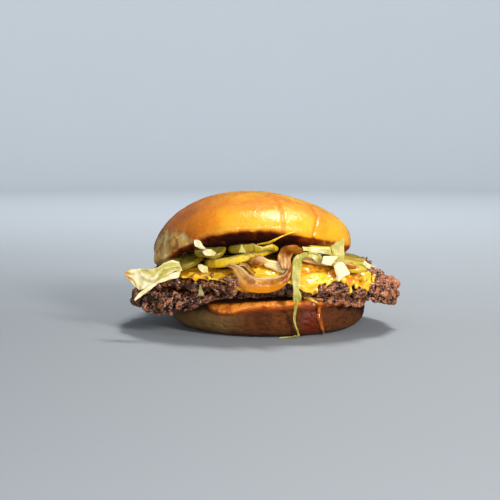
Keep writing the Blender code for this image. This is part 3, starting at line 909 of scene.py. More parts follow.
@dataclass(frozen=True)
class GlazedCrust(Finish):
    """Egg-glazed brioche crust, with a torn side of bare crumb and a dull underside painted dark as shade."""

    slot: Slot = Slot.CRUST
    golden: Colour = tint(228, 166, 30)
    baked: Colour = tint(210, 114, 16)
    dark: Colour = tint(162, 68, 8)
    crease: Colour = tint(208, 118, 14)
    crumb: Colour = tint(248, 216, 144)
    crumb_shade: Colour = tint(212, 164, 80)
    # Scorched spots in the crumb; the same colour also starts the painted shade on the underside.
    scorch_and_shade: Colour = tint(140, 56, 6)
    # under is the painted shade of the underside and of the band below the crust.
    under: Colour = tint(34, 4, 0)
    crumb_dark: Colour = tint(146, 92, 40)

    def make(self, graph: Graph) -> None:
        """Builds the material's nodes.

        Args:
            graph: The material that is being made.
        """
        # The stored browning also carries painted shade on the left.
        bake_and_shade = graph.maths("ADD", graph.kept("bake_and_shade"), graph.spread(graph.noise(14, 3), 0.3, 0.7, -0.16, 0.16))
        crust = graph.ramp(bake_and_shade, ((0.15, self.golden), (0.6, self.baked), (1.0, self.dark)))
        fine = graph.spread(graph.noise(1.1, 4), 0.35, 0.7, 0.0, 0.35)
        crust = graph.blend(fine, crust, self.golden)
        crust = graph.blend(graph.maths("MULTIPLY", graph.kept("crease"), 0.8), crust, self.crease)
        pores = graph.spread(graph.dots(2.3), 0.06, 0.16, 0.3, 0.0)
        crust = graph.blend(pores, crust, self.dark)
        shades = ((0.34, self.crumb_dark), (0.46, self.crumb_shade), (0.62, self.crumb), (0.8, self.crumb))
        crumb = graph.ramp(graph.noise(6.0, 7, 0.5, (1, 0.4, 1)), shades)
        crumb = graph.blend(graph.spread(graph.dots(5.5), 0.10, 0.22, 0.7, 0.0), crumb, self.scorch_and_shade)
        torn = graph.kept("torn")
        colour = graph.blend(torn, crust, crumb)
        # Painted shade on the underside, with a ragged edge: first scorched brown, then near black.
        ragged_shade_edge = graph.spread(graph.noise(5.0, 4, 0.5, (1, 1, 0.5)), 0.3, 0.7, -0.12, 0.12)
        under = graph.maths("ADD", graph.kept("under"), ragged_shade_edge)
        colour = graph.blend(graph.spread(under, 0.05, 0.7), colour, self.scorch_and_shade)
        colour = graph.blend(graph.spread(under, 0.35, 1.0), colour, self.under)
        sheen = graph.spread(graph.noise(3.5, 4, 0.3), 0.35, 0.65, 0.12, 0.38)
        dry = graph.maths("MULTIPLY", torn, 0.9)
        dull = graph.maths("MAXIMUM", dry, graph.spread(under, 0.1, 0.7, 0.0, 0.95))
        rough = graph.maths("MAXIMUM", sheen, dull)
        graph.relief(
            (graph.noise(6.5, 2), 0.12),
            (graph.noise(1.2, 4, 0.4), 0.3),
            (graph.maths("MULTIPLY", graph.noise(2.6, 5, 0.5, (1, 0.4, 1)), torn), 0.7),
        )
        graph.finish(
            Base_Color=colour, Roughness=rough, Subsurface_Weight=0.08, Subsurface_Scale=0.002,
            Specular_IOR_Level=graph.spread(under, 0.1, 0.7, 0.65, 0.1),
        )


@dataclass(frozen=True)
class ToastedBread(Finish):
    """The heel: matte bread sides, a greasy toasted band and a fat-soaked stain."""

    slot: Slot = Slot.BREAD
    # The side colours are darker than the bread's own: painted shade from the patties above.
    ashen: Colour = tint(122, 94, 54)
    russet: Colour = tint(56, 18, 3)
    pale: Colour = tint(98, 52, 14)
    tan: Colour = tint(68, 31, 6)
    brown: Colour = tint(44, 22, 8)
    band: Colour = tint(246, 150, 48)
    band_edge: Colour = tint(172, 70, 14)
    soaked: Colour = tint(92, 26, 1)

    def make(self, graph: Graph) -> None:
        """Builds the material's nodes.

        Args:
            graph: The material that is being made.
        """
        patches = graph.noise(9, 4, 0.4, (1, 1, 1.8))
        side = graph.ramp(patches, ((0.3, self.tan), (0.5, self.pale), (0.72, self.tan)))
        side = graph.blend(graph.spread(graph.noise(1.2, 5), 0.4, 0.7, 0.0, 0.6), side, self.tan)
        streaks = graph.spread(graph.noise(4.0, 5, 0.8, (1, 1, 1.6)), 0.46, 0.7, 0.0, 0.6)
        side = graph.blend(streaks, side, self.russet)
        side = graph.blend(graph.kept("ashen"), side, self.ashen)
        # Darker foot, and painted shade under the patties.
        side = graph.blend(graph.kept("foot_and_shade"), side, self.brown)
        toasted = graph.blend(graph.spread(graph.noise(3.2, 4), 0.35, 0.7), self.band, self.band_edge)
        toasted = graph.blend(graph.spread(graph.noise(7, 2), 0.4, 0.6, 0.0, 0.55), toasted, self.band)
        band = graph.kept("band")
        colour = graph.blend(graph.spread(band, 0.0, 0.5), side, self.band_edge)
        colour = graph.blend(graph.spread(band, 0.45, 1.0), colour, toasted)
        soaked = graph.kept("stain")
        colour = graph.blend(graph.maths("MULTIPLY", soaked, 0.92), colour, self.soaked)
        greasy = graph.maths("MAXIMUM", band, graph.maths("MULTIPLY", soaked, 0.6))
        rough = graph.spread(greasy, 0.0, 1.0, 0.95, 0.1)
        graph.relief(
            (graph.noise(4.5, 4, 0.5, (1, 1, 2.0)), 0.45),
            (graph.noise(0.9, 4, 0.6), 0.16),
            (graph.maths("MULTIPLY", graph.noise(1.8, 3, 0.4), greasy), 1.2),
        )
        graph.finish(
            Base_Color=colour, Roughness=rough, Subsurface_Weight=0.06, Subsurface_Scale=0.002,
            Specular_IOR_Level=graph.spread(band, 0.2, 0.9, 0.25, 0.9),
        )


@dataclass(frozen=True)
class SearedMince(Finish):
    """Smashed and seared mince: pink-brown and tan knobs over near-black painted shade in the hollows, moist
    with fat.
    """

    slot: Slot = Slot.MINCE
    tan: Colour = tint(172, 104, 62)
    pink: Colour = tint(120, 60, 34)
    brown: Colour = tint(68, 30, 14)
    sear: Colour = tint(26, 9, 4)
    # hollow is the painted shade of the hollows.
    hollow: Colour = tint(14, 5, 2)
    fat: Colour = tint(226, 178, 150)

    def make(self, graph: Graph) -> None:
        """Builds the material's nodes.

        Args:
            graph: The material that is being made.
        """
        grain = graph.spread(graph.noise(0.8, 5), 0.3, 0.7, -0.29, 0.21)
        tone = graph.maths("ADD", graph.kept("tone"), grain)
        knob = graph.ramp(tone, ((0.05, self.sear), (0.3, self.brown), (0.6, self.pink), (0.95, self.tan)))
        knob = graph.blend(graph.spread(graph.noise(9, 2), 0.42, 0.62, 0.0, 0.5), knob, self.brown)
        # Light fat specks, partly fat and partly painted glints.
        knob = graph.blend(graph.spread(graph.noise(0.6, 3), 0.55, 0.66, 0.0, 0.85), knob, self.fat)
        # Painted shade in the hollows.
        colour = graph.blend(graph.kept("hollow"), knob, self.hollow)
        moist = graph.spread(graph.noise(1.8, 3), 0.4, 0.6, 0.45, 0.1)
        graph.relief((graph.noise(1.0, 4, 0.8), 0.45), (graph.noise(0.5, 4, 0.5), 0.3))
        graph.finish(
            Base_Color=colour, Roughness=moist, Subsurface_Weight=0.05, Subsurface_Scale=0.001,
            Specular_IOR_Level=0.5,
        )


@dataclass(frozen=True)
class MeltedCheese(Finish):
    """Glossy melted cheese, amber where it is thin or stained with fat, and amber as painted shade in its
    hollows and low on the left.
    """

    slot: Slot = Slot.CHEESE
    bright: Colour = tint(252, 206, 58)
    deep: Colour = tint(236, 166, 24)
    amber: Colour = tint(212, 116, 16)
    burnt: Colour = tint(120, 60, 20)

    def make(self, graph: Graph) -> None:
        """Builds the material's nodes.

        Args:
            graph: The material that is being made.
        """
        mottle = graph.noise(4.5, 4, 0.5)
        colour = graph.ramp(mottle, ((0.32, self.deep), (0.55, self.bright), (0.8, self.bright)))
        # The amber share carries fat stains and painted shade.
        oil = graph.maths("MULTIPLY", graph.kept("oil"), graph.spread(graph.noise(2.2, 4, 0.4), 0.3, 0.6))
        colour = graph.blend(oil, colour, self.amber)
        specks = graph.spread(graph.dots(3.1), 0.05, 0.12, 0.75, 0.0)
        colour = graph.blend(specks, colour, self.burnt)
        graph.relief((graph.noise(3.2, 2, 0.3), 0.22), (graph.noise(0.9, 3), 0.03))
        graph.finish(
            Base_Color=colour, Roughness=graph.spread(graph.noise(3, 2), 0.3, 0.7, 0.08, 0.2),
            Subsurface_Weight=0.22, Subsurface_Radius=(1.0, 0.55, 0.15), Subsurface_Scale=0.003,
            Specular_IOR_Level=0.75,
        )


@dataclass(frozen=True)
class SoftOnion(Finish):
    """Onion fried soft: translucent, pale gold, browned along its edges."""

    slot: Slot = Slot.ONION
    pale: Colour = tint(192, 130, 26)
    gold: Colour = tint(134, 62, 3)
    cream: Colour = tint(250, 224, 160)
    brown: Colour = tint(160, 80, 10)
    cheesy: Colour = tint(204, 124, 10)

    def make(self, graph: Graph) -> None:
        """Builds the material's nodes.

        Args:
            graph: The material that is being made.
        """
        colour = graph.blend(graph.spread(graph.noise(3.5, 5, 0.5), 0.38, 0.62), self.gold, self.pale)
        # Cream, partly the onion's own colour and partly a painted highlight.
        colour = graph.blend(graph.kept("cream_and_highlight"), colour, self.cream)
        colour = graph.blend(graph.kept("browned"), colour, self.brown)
        lines = graph.kept("line")
        colour = graph.blend(graph.maths("MULTIPLY", lines, 0.4), colour, self.gold)
        colour = graph.blend(graph.maths("MULTIPLY", graph.kept("cheesy"), 0.85), colour, self.cheesy)
        graph.relief((lines, 0.12), (graph.noise(2.2, 4, 0.5), 0.3), (graph.noise(0.8, 3), 0.08))
        graph.finish(
            Base_Color=colour, Roughness=graph.spread(graph.noise(2, 2), 0.3, 0.7, 0.08, 0.2),
            Subsurface_Weight=0.12, Subsurface_Radius=(1.0, 0.8, 0.3), Subsurface_Scale=0.002,
            Specular_IOR_Level=0.36,
        )


@dataclass(frozen=True)
class PickledGherkin(Finish):
    """A moist gherkin slice: speckled skin round a paler, seeded face."""

    slot: Slot = Slot.GHERKIN
    skin: Colour = tint(250, 202, 18)
    skin_dark_and_shade: Colour = tint(84, 72, 10)
    face: Colour = tint(232, 206, 84)
    face_wet: Colour = tint(186, 150, 30)
    seed: Colour = tint(230, 214, 128)

    def make(self, graph: Graph) -> None:
        """Builds the material's nodes.

        Args:
            graph: The material that is being made.
        """
        face = graph.blend(graph.spread(graph.noise(3.4, 3), 0.35, 0.65), self.face_wet, self.face)
        face = graph.blend(graph.kept("seed"), face, self.seed)
        skin = graph.blend(graph.spread(graph.noise(2.6, 3), 0.38, 0.66), self.skin, self.face)
        skin = graph.blend(graph.spread(graph.dots(2.3), 0.10, 0.24, 0.8, 0.0), skin, self.skin_dark_and_shade)
        colour = graph.blend(graph.kept("skin"), face, skin)
        # Painted shade where shaded is set.
        colour = graph.blend(graph.kept("shaded"), colour, self.skin_dark_and_shade)
        graph.relief((graph.noise(1.6, 3), 0.12), (graph.noise(0.6, 2), 0.03))
        graph.finish(
            Base_Color=colour, Roughness=graph.spread(graph.noise(2, 2), 0.3, 0.7, 0.16, 0.34),
            Subsurface_Weight=0.2, Subsurface_Radius=(0.8, 1.0, 0.25), Subsurface_Scale=0.002,
            Specular_IOR_Level=0.35,
        )


@dataclass(frozen=True)
class CrispLeaf(Finish):
    """Shredded iceberg lettuce: near-white ribs that turn to pale yellow-green blades."""

    slot: Slot = Slot.LEAF
    rib: Colour = tint(230, 218, 180)
    blade: Colour = tint(194, 182, 98)
    green: Colour = tint(158, 150, 46)
    dim: Colour = tint(104, 88, 58)
    rust: Colour = tint(214, 150, 44)

    def make(self, graph: Graph) -> None:
        """Builds the material's nodes.

        Args:
            graph: The material that is being made.
        """
        cloudy = graph.spread(graph.noise(8, 4), 0.3, 0.7, -0.3, 0.3)
        greener = graph.maths("ADD", graph.kept("greener"), cloudy)
        colour = graph.ramp(greener, ((0.1, self.rib), (0.5, self.blade), (1.0, self.green)))
        veins = graph.spread(graph.noise(1.6, 2, 1.5, (1.0, 1.0, 0.35)), 0.52, 0.62, 0.0, 0.3)
        colour = graph.blend(veins, colour, self.rib)
        colour = graph.blend(graph.kept("rust"), colour, self.rust)
        colour = graph.blend(graph.kept("dim"), colour, self.dim)
        graph.relief((graph.noise(1.8, 3, 0.6), 0.16), (veins, 0.05))
        graph.finish(
            Base_Color=colour, Roughness=graph.spread(graph.noise(3, 2), 0.3, 0.7, 0.26, 0.42),
            Subsurface_Weight=0.25, Subsurface_Radius=(0.8, 1.0, 0.4), Subsurface_Scale=0.0015,
            Specular_IOR_Level=0.4,
        )


@dataclass(frozen=True)
class CheeseFat(Finish):
    """The glossy amber run of cheese fat and sauce."""

    slot: Slot = Slot.CHEESE
    amber: Colour = tint(196, 104, 20)
    dark: Colour = tint(120, 52, 14)
    light: Colour = tint(240, 186, 84)

    def make(self, graph: Graph) -> None:
        """Builds the material's nodes.

        Args:
            graph: The material that is being made.
        """
        colour = graph.blend(graph.spread(graph.noise(3, 3), 0.35, 0.65), self.dark, self.amber)
        colour = graph.blend(graph.kept("cheesy"), colour, self.light)
        graph.relief((graph.noise(2.4, 2), 0.15))
        graph.finish(
            Base_Color=colour, Roughness=0.1, Subsurface_Weight=0.2, Subsurface_Radius=(1.0, 0.4, 0.1),
            Subsurface_Scale=0.002, Specular_IOR_Level=0.7,
        )


# The burger's parts


@dataclass
class Crown:
    """The upper half of the bun."""

    node: str = "crown"
    voxel: float = 1.25
    finish: Finish = field(default_factory=GlazedCrust)
    # Folds of the skin, as seen.
    folds: tuple[Path, ...] = (
        ((2.0, 72.0), (5.4, 67.5), (7.6, 62.5), (8.2, 56.0), (8.0, 51.0), (8.2, 44.0)),
        ((16.0, 71.0), (21.0, 66.0), (24.6, 60.4), (23.6, 55.0), (22.6, 51.0), (23.4, 45.0)),
    )
    fold_depth: float = 0.65
    fold_half_width: float = 0.8
    bead_height: float = 0.3  # of the soft roll that a fold lies on
    bead_half_width: float = 3.2
    # Folds at the back: direction, half width and strength.
    back_folds: Triples = ((71.0, 1.3, 0.5), (128.0, 1.5, 0.35), (18.0, 1.4, 0.45))
    skin: tuple[Noise, ...] = ((26, 1, 0.55), (9, 2, 0.16), (2.4, 9, 0.03))
    # The torn side: direction, half width and height.
    tear: tuple[float, float, float] = (204.0, 35.0, 18.0)
    tear_edge: tuple[Noise, ...] = ((8.0, 3, 3.0), (2.4, 4, 1.2))
    pits: tuple[Noise, ...] = ((7.0, 15, 1.2), (3.0, 6, 0.5))
    sag: float = 4.5  # how far the cut face bulges onto the filling
    # The band below the crust that is drawn in and painted dark as shade: direction, half width and height.
    roll: tuple[float, float, float] = (262.0, 34.0, 4.2)
    roll_edge: tuple[Noise, ...] = ((14, 10, 0.6), (3, 11, 0.3))
    roll_depth: float = 1.3
    outer_rim: float = 0.82  # the share of the reach past which a corner may be on the lip
    sectors: int = 72

    def lip(self, points: Array, degrees: Array, rim: Array) -> Array:
        """The height of the lowest edge in each corner's direction.

        Args:
            points: The corners.
            degrees: Their directions.
            rim: Their reach, as a share of the greatest.

        Returns:
            One height to a corner.
        """
        step = 360 / self.sectors
        outer = rim > self.outer_rim
        low = np.full(self.sectors, math.inf)
        np.minimum.at(low, (degrees[outer] // step).astype(int) % self.sectors, points[outer, 2])
        for _ in range(3):
            low = (np.roll(low, 1) + 2 * low + np.roll(low, -1)) / 4
        centres = (np.arange(self.sectors) + 0.5) * step
        return np.interp(degrees, centres, low, period=360)

    def creases(self, points: Array, normals: Array, degrees: Array, rim: Array) -> tuple[Array, Array]:
        """Where the skin is folded, and the soft rolls that the front folds lie on.

        Args:
            points: The corners.
            normals: Their outward directions.
            degrees: Their directions from the middle.
            rim: Their reach, as a share of the greatest.

        Returns:
            Two values to a corner, from 0 to 1.
        """
        front = smooth(0.15, -0.25, normals[:, 1]) * (points[:, 1] < 0)
        away = np.min([path_distance(seen(points), path) for path in self.folds], axis=0)
        bent = degrees + 5 * cloud(points, 16, 8)
        back = sum(strength * bell(bent, at, wide) for at, wide, strength in self.back_folds)
        back = back * smooth(0.5, 0.75, rim) * smooth(-0.1, 0.2, normals[:, 2])
        fold = bell(away, 0.0, self.fold_half_width) * front
        return np.maximum(fold, back), bell(away, 0.0, self.bead_half_width) * front

    def torn(self, points: Array, normals: Array, degrees: Array, above: Array) -> Array:
        """Where the skin is torn away from the crumb.

        Args:
            points: The corners.
            normals: Their outward directions.
            degrees: Their directions from the middle.
            above: Their heights over the lip.

        Returns:
            One value to a corner, from 0 to 1.
        """
        direction, half_width, height = self.tear
        limit = height * angle_bell(degrees, direction, half_width)
        edge = smooth(-1.4, 2.6, limit + clouds(points, self.tear_edge) - above - 1.0)
        return edge * smooth(-0.99, -0.9, normals[:, 2])

    def rolled(self, points: Array, degrees: Array, above: Array) -> Array:
        """Where the band below the crust is drawn in and painted with shade.

        Args:
            points: The corners.
            degrees: Their directions from the middle.
            above: Their heights over the lip.

        Returns:
            One value to a corner, from 0 to 1.
        """
        direction, half_width, height = self.roll
        roll = height * np.clip(1.3 * angle_bell(degrees, direction, half_width), 0, 1)
        return smooth(2.8, -1.8, above - roll + clouds(points, self.roll_edge)) * smooth(0.2, 1.0, roll)

    def build(self) -> Object:
        """Builds and dresses the crown.

        Returns:
            The finished object.
        """
        form = Form.from_node(self.node).voxels(self.voxel).relax(10).refine(1)
        points, normals = form.points, form.normals
        degrees, rim = polar(points, (points.min(0) + points.max(0)) / 2)
        rim = rim / rim.max()
        above = points[:, 2] - self.lip(points, degrees, rim)
        fold, bead = self.creases(points, normals, degrees, rim)
        torn = self.torn(points, normals, degrees, above)
        rolled = self.rolled(points, degrees, above)
        pits = clouds(points * (1, 0.5, 1), self.pits) - 0.4
        height = clouds(points, self.skin)
        height += self.bead_height * bead - self.fold_depth * fold + torn * pits
        height -= self.roll_depth * rolled * smooth(-0.9, -0.3, normals[:, 2])
        sagged = form.swell(height).points
        sagged[:, 2] -= self.sag * (smooth(-0.5, -0.9, normals[:, 2]) * smooth(0.97, 0.78, rim))
        form.put(sagged)
        torn = torn * (1 - 0.85 * rolled)
        # Painted shade on faces that look down and on the drawn-in band, with less of it towards the right.
        under = np.maximum(smooth(-0.05, -0.5, normals[:, 2]), 0.9 * rolled) * (1 - 0.8 * torn)
        under *= 1 - 0.4 * smooth(8, 26, points[:, 0])
        # Browning: darker towards the left, partly as painted shade; lighter near the lip on the right; a
        # little darker on top.
        bake_and_shade = 0.26 + 0.55 * smooth(0, -56, points[:, 0]) + 0.28 * cloud(points, 20, 7)
        pale = 0.22 * smooth(10, 2, above) * smooth(-30, 10, points[:, 0])
        bake_and_shade += 0.05 * smooth(56, 68, points[:, 2]) - pale
        form.keep("torn", torn).keep("under", under).keep("crease", np.clip(fold, 0, 1)).keep("bake_and_shade", bake_and_shade)
        return form.dress(self.finish, self.node)


@dataclass
class Heel:
    """The lower half of the bun, with its toasted band and the patch soaked by cheese fat."""

    node: str = "heel"
    voxel: float = 1.1
    radius: float = 50.0
    finish: Finish = field(default_factory=ToastedBread)
    # Lower edge of the toasted band, as (direction in degrees, height).
    band: Path = (
        (0, 13.0), (60, 12.5), (120, 14.0), (180, 13.0), (208, 15.5), (222, 16.4), (234, 12.6), (241, 11.0),
        (250, 12.0), (258, 13.6), (266, 14.6), (282, 15.0), (305, 15.4), (330, 14.2),
    )
    # The fat-soaked patch, as seen: middle and half widths.
    stain: tuple[float, float, float, float] = (21.5, 9.0, 4.8, 9.5)

    band_bulge: float = 1.1
    # Where the band stands out farther: direction, half width and share.
    band_front: tuple[float, float, float] = (266.0, 30.0, 1.3)
    groove_depth: float = 0.7
    wrinkle_depth: float = 0.22
    # Painted shade on the side, under the patties: direction, half width, strength and the heights between
    # which it rises.
    painted_shade_patches: Fives = ((330, 22, 0.6, 2, 12), (226, 16, 0.8, 7, 13))

    def shape(self, form: Form, degrees: Array, above: Array, side: Array, band: Array) -> None:
        """Swells the bread's side, with its band, groove and wrinkles.

        Args:
            form: The bread.
            degrees: Its corners' directions from the middle.
            above: Their heights over the band's lower edge.
            side: How much they belong to the side.
            band: How much they belong to the band.
        """
        points = form.points
        height = 0.35 * cloud(points, 15, 12) + 0.18 * cloud(points * (1, 1, 2), 5, 13)
        direction, half_width, share = self.band_front
        forward = 1 + share * angle_bell(degrees, direction, half_width)
        groove = bell(above, -0.4, 0.9) * side
        height += self.band_bulge * forward * band - self.groove_depth * groove
        wrinkle = np.abs(cloud(points * (1, 1, 2.4), 7, 14))
        height -= self.wrinkle_depth * smooth(0.22, 0.0, wrinkle) * (1 - band)
        form.swell(height * (side * smooth(0.5, 2.5, points[:, 2])))

    def build(self) -> Object:
        """Builds and dresses the bread.

        Returns:
            The finished object.
        """
        form = Form.from_node(self.node).voxels(self.voxel).relax(5).refine(1)
        points, normals = form.points, form.normals
        degrees, rim = polar(points, (points.min(0) + points.max(0)) / 2)
        edge = np.interp(degrees, *np.array(self.band).T, period=360) + 0.5 * cloud(points, 6, 11)
        above = points[:, 2] - edge
        side = smooth(0.8, 0.93, rim / self.radius)
        band = smooth(-0.6, 0.9, above) * side
        self.shape(form, degrees, above, side, band)
        place = seen(points)
        x, z, wide, tall = self.stain
        stain = bell(place[:, 0], x, wide) * bell(place[:, 1], z, tall) * (normals[:, 1] < 0.2)
        # Darker at the foot, and painted shade in patches under the patties.
        foot_and_shade = smooth(3.6, 0.6, points[:, 2] + 0.8 * cloud(points, 5, 15)) * 0.7
        for direction, half_width, strength, low, high in self.painted_shade_patches:
            patch = strength * angle_bell(degrees, direction, half_width)
            foot_and_shade += patch * smooth(low, high, points[:, 2]) * (1 - band)
        form.keep("band", band).keep("stain", np.clip(1.25 * stain, 0, 1)).keep("foot_and_shade", np.clip(foot_and_shade, 0, 1))
        form.keep("ashen", smooth(-6, -26, points[:, 0]) * (0.7 + 0.4 * cloud(points, 7, 16)))
        return form.dress(self.finish, self.node)


@dataclass
class Patty:
    """A smashed patty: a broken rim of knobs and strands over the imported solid."""

    node: str
    seed: int
    rim_depth: float = 10.0  # how far in from the rim the meat is broken up
    inset: float = 1.0
    cleft_depth: float = 1.2
    voxel: float = 0.49
    sectors: int = 72
    # Lumps on the rim: number, least and greatest radius, greatest stretch.
    lumps: tuple[tuple[int, float, float, float], ...] = (
        (330, 1.6, 3.0, 1.5), (900, 0.5, 0.9, 4.2), (3600, 0.45, 1.0, 1.7),
    )
    # Lumps that stick out, as seen: x, z and radius.
    lobes: Triples = ()
    # Painted shadow in the dark gaps, as seen: x, z, half width and half height.
    gaps: tuple[tuple[float, float, float, float], ...] = ()
    # Where the rim is drawn back under the cheese, as seen: middle, half width and height; how far
    # back it goes; and the lowest height it keeps there.
    recess: tuple[float, float, float, float, float] | None = None
    finish: Finish = field(default_factory=SearedMince)

    def rim_lumps(
        self, draw: np.random.Generator, points: Array, faces: Array, rims: Array
    ) -> list[tuple[Array, Array]]:
        """Lumps scattered over the rim.

        Args:
            draw: Where the random numbers come from.
            points: The solid's corners.
            faces: Its triangles.
            rims: The rim's reach in each direction.

        Returns:
            Sets of corners and triangles.
        """
        corners = points[faces]
        area = np.linalg.norm(np.cross(corners[:, 1] - corners[:, 0], corners[:, 2] - corners[:, 0]), axis=1)
        chance = area * (self.reach(corners.mean(1), rims) > -self.rim_depth)
        sets = []
        for count, low, high, stretch in self.lumps:
            chosen = draw.choice(len(faces), count, p=chance / chance.sum())
            centres = np.einsum("nk,nkj->nj", draw.dirichlet((1, 1, 1), count), corners[chosen])
            radius = low + (high - low) * draw.random(count) ** 1.8
            sizes = radius[:, None] * np.stack(
                (draw.uniform(1, stretch, count), draw.uniform(0.7, 1.1, count), np.full(count, 0.8)), 1
            )
            outward = centres - (0, 0, centres[:, 2].mean())
            outward /= np.linalg.norm(outward, axis=1, keepdims=True)
            centres += outward * (radius * draw.uniform(-0.6, 0.45, count))[:, None]
            sets.append(crowd(centres, sizes, draw))
        return sets

    def lobe(
        self, draw: np.random.Generator, points: Array, x: float, z: float, radius: float
    ) -> tuple[Array, Array]:
        """A lump at the place on a sight line that comes nearest to the solid.

        Args:
            draw: Where the random turn comes from.
            points: The solid's corners.
            x: The seen place.
            z: Its height.
            radius: The lump's size.

        Returns:
            Corners and triangles.
        """
        line = along_sight(x, z, *LOBE_RANGE)
        away = np.linalg.norm(line[:, None] - points[None], axis=2).min(1)
        return crowd(line[away.argmin()][None], radius * np.array(((1.1, 0.95, 0.9),)), draw)

    def break_up(self, form: Form, rims: Array) -> None:
        """Gives the rim its knobs, crags and clefts.

        Args:
            form: The patty.
            rims: The rim's reach in each direction.
        """
        points = form.points
        broken = smooth(-self.rim_depth - 2, -self.rim_depth + 3, self.reach(points, rims))
        bent = points + 0.75 * np.stack([cloud(points, 1.9, self.seed + k) for k in (6, 7, 8)], 1)
        small, _ = knobs(bent, 1.15, self.seed)
        crags = 0.35 - np.abs(cloud(bent, 2.0, self.seed + 9))
        clefts = smooth(0.16, 0.0, np.abs(cloud(points, 6.5, self.seed + 4)))
        clefts *= smooth(-0.2, 0.3, cloud(points, 11, self.seed + 5))
        height = 0.5 * small + 0.7 * crags + 0.5 * cloud(points, 3.4, self.seed + 1)
        height += 0.3 * cloud(points, 0.9, self.seed + 2) + 0.25 * knobs(bent, 0.7, self.seed + 10)[0]
        form.swell((height - self.cleft_depth * clefts) * broken)

    def colour(self, form: Form) -> None:
        """Stores the painted shade in the hollows, underneath and in the gaps, and how light each knob is.

        Args:
            form: The patty.
        """
        points = form.points
        fine = form.hollows(6, 0.40)
        wide = form.hollows(60, 1.5)
        _, tone = knobs(points + 0.5 * cloud(points, 2, 1)[:, None], 3.0, self.seed + 3)
        _, grain = knobs(points + 0.4 * cloud(points, 1.0, 2)[:, None], 1.2, self.seed + 11)
        # Painted shade in the hollows and on faces that look down.
        gloom = smooth(0.25, -0.7, form.normals[:, 2]) * 0.6
        hollow = smooth(-0.15, 0.7, 0.7 * fine + 0.8 * wide + gloom)
        place = seen(points)
        ragged = place[:, 1] + 0.8 * cloud(points, 3, 9)
        # Painted shadow in the gaps.
        for x, z, half_width, half_height in self.gaps:
            gap = bell(place[:, 0], x, half_width) * bell(ragged, z, half_height)
            hollow = np.maximum(hollow, 0.85 * gap)
        # lit: the knobs' random tone, darker over the hollows as painted shade and lighter towards the right
        # as painted light.
        lit = 0.19 + 0.34 * (tone - 0.5) + 0.5 * (grain - 0.5) - 0.5 * fine - 0.5 * wide
        lit += 0.33 * smooth(-50, 40, points[:, 0])
        form.keep("hollow", hollow).keep("tone", lit)

    def build(self) -> Object:
        """Builds and dresses the patty.

        Returns:
            The finished object.
        """
        draw = np.random.default_rng(self.seed)
        solid = Form.from_node(self.node).swell(-self.inset)
        points = solid.points
        faces = np.array([list(f.vertices) for f in solid.mesh.polygons])
        bpy.data.objects.remove(solid.object)
        rims = rim_of(*polar(points), self.sectors)
        sets = [(points, faces), *self.rim_lumps(draw, points, faces, rims)]
        sets += [self.lobe(draw, points, *lobe) for lobe in self.lobes]
        form = Form(f"{self.node}_dressed", *joined(sets)).voxels(self.voxel)
        self.break_up(form, rims)
        if self.recess:
            self.draw_back(form)
        form.thin_out(self.reach(form.points, rims) < -self.rim_depth - 1, 0.5)
        self.colour(form)
        return form.dress(self.finish, self.node)

    def draw_back(self, form: Form) -> None:
        """Draws the rim back under the cheese.

        Args:
            form: The patty.
        """
        middle, half_width, height, back, lowest = self.recess
        points = form.points
        place = seen(points)
        share = bell(place[:, 0], middle, half_width) ** 0.5 * smooth(height + 4, height - 1, place[:, 1])
        share = np.clip(1.3 * share, 0, 1) * (points[:, 1] < -20)
        points[:, 1] += back * share
        floor = lowest + 0.5 * cloud(points, 3.0, 8)
        under = points[:, 2] < floor
        points[:, 2] += np.where(under, 0.85 * share * (floor - points[:, 2]), 0)
        form.put(points)

    def reach(self, points: Array, rims: Array) -> Array:
        """How far each place lies past the rim, below 0 inside it."""
        degrees, reach = polar(points)
        return reach - rim_at(degrees, rims)


